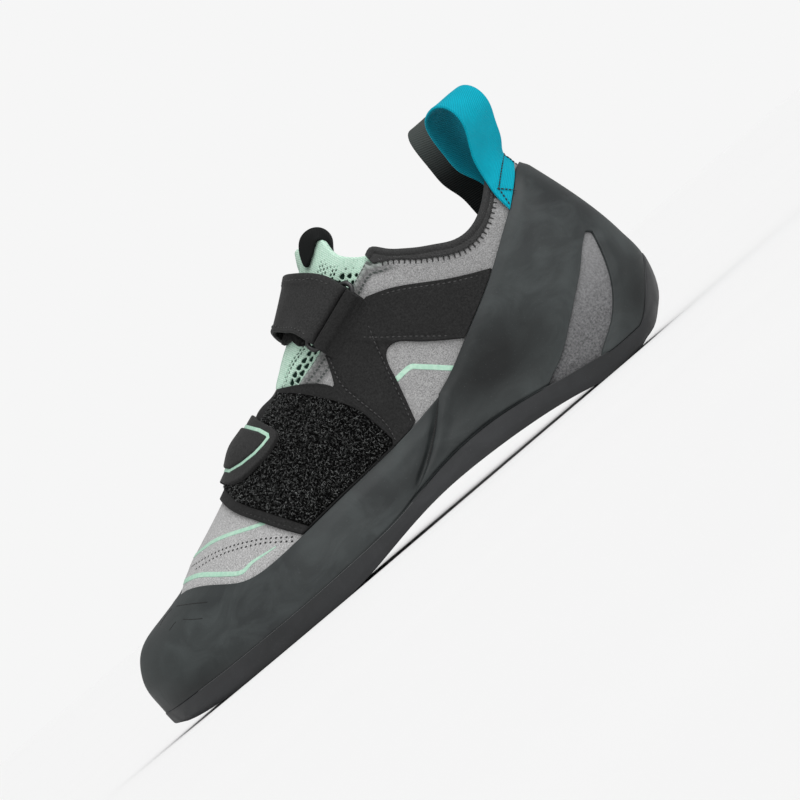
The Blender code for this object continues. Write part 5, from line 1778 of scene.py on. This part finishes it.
def heel_loop_grid(x, foot_z, side, wide):
    u, t = place(x, 80, side)
    half = HEEL_LOOP_HALF_WIDTH
    width = last_point(u + 0.1, t) - last_point(u - 0.1, t)
    step = half * 0.2 / np.linalg.norm(width)
    foot = last_point(u, float(height_t(np.array(u), 86)))
    out = last_normal(u, t) * (1, 1, 0)
    out /= np.linalg.norm(out)
    across = np.array((-out[1], out[0], 0)) * (-1 if width[0] * -out[1] < 0 else 1)
    rows = []

    def sewn(z, slope, away):
        spots = []
        for f in (-1, 0, 1):
            here = u + f * step * (1 + (wide - 1) * min(2 * slope, 1) if f > 0 else 1)
            there = z + slope * (last_point(here, t)[0] - x)
            spots.append(on_last(here, float(height_t(np.array(here), there)), away))
        return spots

    for z, slope, away in ((foot_z, 0.85, 1.5), (foot_z + 4.5, 0.5, 1.6), (84, 0.15, 1.9)):
        rows.append(sewn(z, slope, away))
    for away, z in ((3.8, 90), (8.6, 97), (12.2, 103.5), (11.7, 109), (7.4, 113), (1.2, 113.4), (-3.6, 111.2),
                    (-5.8, 106), (-6.4, 98), (-6, 91)):
        rows.append([foot + out * away + across * half * f + np.array((0, 0, z - foot[2]))
                     for f in (-1, 0, 1)])
    rows += [sewn(84, 0, -4.0), sewn(78, 0, -3.8), sewn(70, 0, -3.6)]
    return np.array(rows)


def tongue_loop_grid():
    """A ribbon from the tongue's outer face over its top edge and down inside."""
    far = ((24.8, 101.8), (25.6, 104.4), (27.2, 107.2), (29.6, 109.2), (33, 109.7), (36.2, 108.4),
           (38, 105.6), (37.8, 102.4), (35.8, 99.6), (33.6, 96.4))
    near = ((24.6, 99.6), (27, 100.9), (29.2, 102.1), (31.2, 103.7), (32.8, 104.7), (34, 104.7),
            (34.8, 103.4), (34.7, 101.8), (34.2, 99.4), (33.2, 96.6))
    depth = ((-7.4, -11.2), (-6.6, -12), (-5.6, -12.4), (-4.8, -12.6), (-4.4, -13), (-4.2, -13), (-4, -12.4),
             (-4, -11.6), (-4, -10.6), (-4, -9.6))
    rows = []
    for (far_x, far_z), (near_x, near_z), (far_y, near_y) in zip(far, near, depth):
        ends = np.array((far_x, far_y, far_z)), np.array((near_x, near_y, near_z))
        bow = np.array((far_x + near_x - 62.4, 0, far_z + near_z - 206))
        rows.append([ends[0], (ends[0] + ends[1]) / 2 + 0.5 * bow / (np.linalg.norm(bow) + 0.1), ends[1]])
    return np.array(rows)


HEEL_LOOP_ROWS, HEEL_LOOP_COLUMNS = 150, 26
TONGUE_LOOP_ROWS, TONGUE_LOOP_COLUMNS = 90, 20

# The loop's inside face takes the darker teal, as painted shade
teal_piece = ribbon("teal_loop", heel_loop_grid(99.8, 75.4, OUTER, 1.3), WEBBING, [TEAL, TEAL_SHADED_INSIDE],
                    HEEL_LOOP_ROWS, HEEL_LOOP_COLUMNS)[0]
fitted(teal_piece, "teal_webbing", "heel_loop_outer")
black_piece = ribbon("black_loop", heel_loop_grid(92.0, 70.0, INNER, 1.0), WEBBING, [BLACK_WEBBING],
                     HEEL_LOOP_ROWS, HEEL_LOOP_COLUMNS)[0]
fitted(black_piece, "black_webbing", "heel_loop_inner")
top_piece = ribbon("tongue_pull", tongue_loop_grid(), WEBBING, [BLACK_TAPE], TONGUE_LOOP_ROWS,
                   TONGUE_LOOP_COLUMNS)[0]
fitted(top_piece, "black_webbing", "tongue_loop")


# Stitches, teeth and pinholes

def seam(name, lines, away, thread, spacing=2.3, side=OUTER):
    """Raised stitches with a needle hole between each two."""
    stitched(name, [laid(line, side, away) for line in lines], thread, "microfibre", spacing, 1.2, 0.42, 0.36)
    stitched(name + "_holes", [laid(line, side, away - 0.04, start=spacing / 2) for line in lines], DARK_HOLES_AND_SHADE,
             "microfibre", spacing, 0.8, 0.75, 0.22)


overlay_top = GAP + 0.9 - 0.05
seam("overlay_seam", OVERLAY_SEAMS, overlay_top, SEAM_THREAD, 2.0)
seam("overlay_seam_inside", [SEAM_TOP], GAP + OVERLAY - 0.2, SEAM_THREAD, 2.0, INNER)
seam("patch_seam", [ROW_FRONT], PATCH_TOP - 0.12, DARK_THREAD)
TEAL_SEAMS = ([(94.6, 70.6), (94.9, 73.5), (95.2, 76.6)], [(95.2, 76.8), (97, 75), (99, 72.9)],
              [(95.2, 76.8), (100, 81), (105, 85.2)], [(104.9, 84.8), (105.6, 82), (106, 79.6)])
stitched("teal_seam", [laid(line, OUTER, 2.4, smooth=False) for line in TEAL_SEAMS], NAVY_THREAD,
         "teal_webbing", spacing=1.25, length=1.25, width=0.58, height=0.5)

for mark_name, mark_line, mark_width in (
        ("toe_scratch_long", ((-90, 37.2), (-86, 34.9), (-80.5, 31.4)), 0.36),
        ("toe_scratch_short", ((-91, 32), (-88.5, 30), (-85.5, 28)), 0.3),
        ("toe_scratch_top", ((-99, 35.9), (-96, 36.9), (-92.5, 37.5)), 0.3),
        ("toe_nick", ((-97.2, 32.3), (-95.8, 32.7), (-94.2, 33)), 0.34)):
    stitched(mark_name, [laid(mark_line, OUTER, GAP + RAND + 0.02, step=0.3)], DARK_HOLES_AND_SHADE, "rand_rubber",
             spacing=0.8, length=1.3, width=mark_width, height=0.18)


def lip_path(first, last, side):
    """Along the top of the sole's side, between two places round the outer side, or the inner likewise."""
    u = np.linspace(first, last, 240)
    u = u if side == OUTER else 2 * LAST_ROW - u
    row = around(u)
    t = height_t(u, np.maximum(row["lip_z"], row["foot_z"] + 0.6) - 0.25)
    return on_last(u, t, sole_reach(u) - 0.1), last_normal(u, t)


# Painted highlight: a light line along the top of the sole's lip, where its edge catches the light
stitched("lip_highlight_line", [lip_path(6.6, 12.0, side) for side in (OUTER, INNER)], LIP_HIGHLIGHT, "sole_rubber", spacing=1.1,
         length=1.5, width=0.3, height=0.2)
# Painted shade: dark dashes in the fold along the heel rand's leading edge, where shadow falls
for fold_name, fold_line, fold_width in (
        ("rand_fold_painted_shade_upper", ((29.5, 32.6), (24.2, 27.7), (18, 22.4)), 0.7),
        ("rand_fold_painted_shade_lower", ((22, 25.7), (15, 20.1), (9.5, 16.6)), 1.1)):
    stitched(fold_name, [laid(fold_line, OUTER, 0.75, step=0.3)], DARK_HOLES_AND_SHADE, "rand_rubber", spacing=0.7,
             length=2.2, width=fold_width, height=0.5)

TEETH_LINE = [(x, z - 0.9) for x, z in BINDING_FOOT[1:12]]
ZIGZAG_LINE = [(x, z + 1.1) for x, z in BINDING_FOOT[1:13]]
stitched("collar_teeth", [laid(TEETH_LINE, side, 0.06) for side in (OUTER, INNER)], DARK_THREAD, "binding",
         spacing=1.95, length=2.2, width=0.6, height=0.4, turn=math.pi / 2)
stitched("collar_edge_thread", [laid(BINDING_FOOT[1:13], side, 0.3) for side in (OUTER, INNER)], DARK_THREAD,
         "binding", spacing=0.98, length=1.2, width=0.5, height=0.45, zigzag=0.25)
stitched("collar_zigzag", [laid(ZIGZAG_LINE, side, 0.5) for side in (OUTER, INNER)], GREY_THREAD, "binding",
         spacing=1.05, length=1.3, width=0.24, height=0.22, zigzag=0.8)
for hole_name, hole_shift, hole_start in (("pinholes_upper", 0.75, 0.0), ("pinholes_lower", -0.75, 0.7)):
    hole_spots, hole_normals = laid(shifted(PINHOLE_LINE, hole_shift), OUTER, 0.0, smooth=False,
                                    start=hole_start)
    hole_spots = hole_spots + hole_normals * upper_relief(hole_spots, hole_normals)[:, None]
    stitched(hole_name, [(hole_spots, hole_normals)], DARK_HOLES_AND_SHADE, "suede", spacing=2.15, length=1.1, width=0.8,
             height=0.26, turn=0.35)


# Rows of stitches on the upper strap's face, on shares of its length and width

def band_path(first, last, in_from_left, in_from_right):
    """A path on the strap from one row of its grid to another, that far in from one of its edges."""
    steps = np.linalg.norm(np.diff(STRAP_GRID[:, 2], axis=0), axis=1)
    length = np.concatenate([[0], np.cumsum(steps)])
    rows = strap_spots.shape[0]
    spots, outs = [], []
    for i in range(int(length[first] / length[-1] * rows), int(length[last] / length[-1] * rows)):
        reach = np.concatenate([[0], np.cumsum(np.linalg.norm(np.diff(strap_spots[i], axis=0), axis=1))])
        at = in_from_left if in_from_left else reach[-1] - in_from_right
        j = min(int(np.searchsorted(reach, at)), len(reach) - 1)
        out = strap_norms[i, j] * np.sign(strap_norms[i, j].dot(RING_OUT))
        spots.append(strap_spots[i, j] + out * (strap_half[i, j] + 0.02))
        outs.append(out)
    return np.array(spots), np.array(outs)


STRAP_ROWS = [band_path(15, 19, 1.7, None), band_path(15, 19, None, 2.8)]
stitched("strap_seam", STRAP_ROWS, SEAM_THREAD, "strap_cloth", 2.2, 1.3, 0.4, 0.34)
stitched("strap_seam_holes", [(spots[3:], outs[3:]) for spots, outs in STRAP_ROWS], DARK_HOLES_AND_SHADE, "strap_cloth",
         2.2, 0.9, 0.85, 0.24)

# Two rows that sew the strap's start to the inner side
START_ROWS = [(strap_spots[i, 3:-3] + strap_norms[i, 3:-3] * (strap_half[i, 3:-3, None] + 0.02),
               strap_norms[i, 3:-3]) for i in (4, 9)]
stitched("strap_start_seam", START_ROWS, SEAM_THREAD, "strap_cloth", 2.2, 1.3, 0.4, 0.34)


# Stage: pale floor, plain world, soft light, and a camera rolled as the photograph is

def floor_look():
    f = Finish("pale_floor", 0.9, specular=0.1)
    f.colour(mixed(f.tree, noise(f.tree, f.where, 300.0, 2.0), (0.90, 0.90, 0.90), (0.92, 0.92, 0.92)))
    return f.look


def stage():
    bpy.ops.mesh.primitive_circle_add(vertices=96, radius=14.0, fill_type="NGON", location=(0, 0, 0))
    floor = bpy.context.object
    floor.name = "floor"
    floor.data.materials.append(floor_look())
    world = bpy.data.worlds.new("studio")
    bpy.context.scene.world = world
    world.use_nodes = True
    tree = world.node_tree
    shown = tree.nodes["Background"]
    shown.inputs["Color"].default_value = (0.922, 0.922, 0.922, 1)
    lighting = node(tree, "ShaderNodeBackground", {"Color": (1, 1, 1, 1), "Strength": 0.42})
    seen = node(tree, "ShaderNodeLightPath").outputs["Is Camera Ray"]
    blend = node(tree, "ShaderNodeMixShader", {0: seen, 1: lighting.outputs[0], 2: shown.outputs[0]})
    tree.links.new(blend.outputs[0], tree.nodes["World Output"].inputs["Surface"])


def lamp(name, kind, energy, toward, **settings):
    data = bpy.data.lights.new(name, kind)
    data.energy = energy
    for key, value in settings.items():
        setattr(data, key, value)
    made = bpy.data.objects.new(name, data)
    bpy.context.scene.collection.objects.link(made)
    back = np.array(toward, float)
    distance = np.linalg.norm(back)
    back /= distance
    side = np.cross((0, 1.0, 0.2), back)
    side /= np.linalg.norm(side)
    up = np.cross(back, side)
    made.matrix_world = Matrix(((side[0], up[0], back[0], back[0] * distance),
                                (side[1], up[1], back[1], back[1] * distance),
                                (side[2], up[2], back[2], back[2] * distance), (0, 0, 0, 1)))
    return made


def camera():
    """Looks along +Y at the outer side, rolled so that the toe points down to the left."""
    data = bpy.data.cameras.new("camera")
    data.sensor_width = 36.0
    data.lens = 360.0
    made = bpy.data.objects.new("camera", data)
    bpy.context.scene.collection.objects.link(made)
    centre, width = np.array((0.01888, 0.0, 0.0418)), 0.2886
    distance = width * data.lens / data.sensor_width
    roll = math.atan2(0.64618, 0.76318)
    right = np.array((math.cos(roll), 0, -math.sin(roll)))
    up = np.array((math.sin(roll), 0, math.cos(roll)))
    back = np.array((0, -1.0, 0))
    spot = centre + back * distance
    made.matrix_world = Matrix(((right[0], up[0], back[0], spot[0]), (right[1], up[1], back[1], spot[1]),
                                (right[2], up[2], back[2], spot[2]), (0, 0, 0, 1)))
    data.clip_start, data.clip_end = 0.05, 60.0
    bpy.context.scene.camera = made


stage()
lamp("overhead", "SUN", 2.2, (0.5, -0.5, 0.87), angle=1.0)
lamp("front_soft", "SUN", 0.45, (-0.5, -0.9, 0.5), angle=1.3)
camera()
bpy.context.scene.view_settings.view_transform = "Standard"
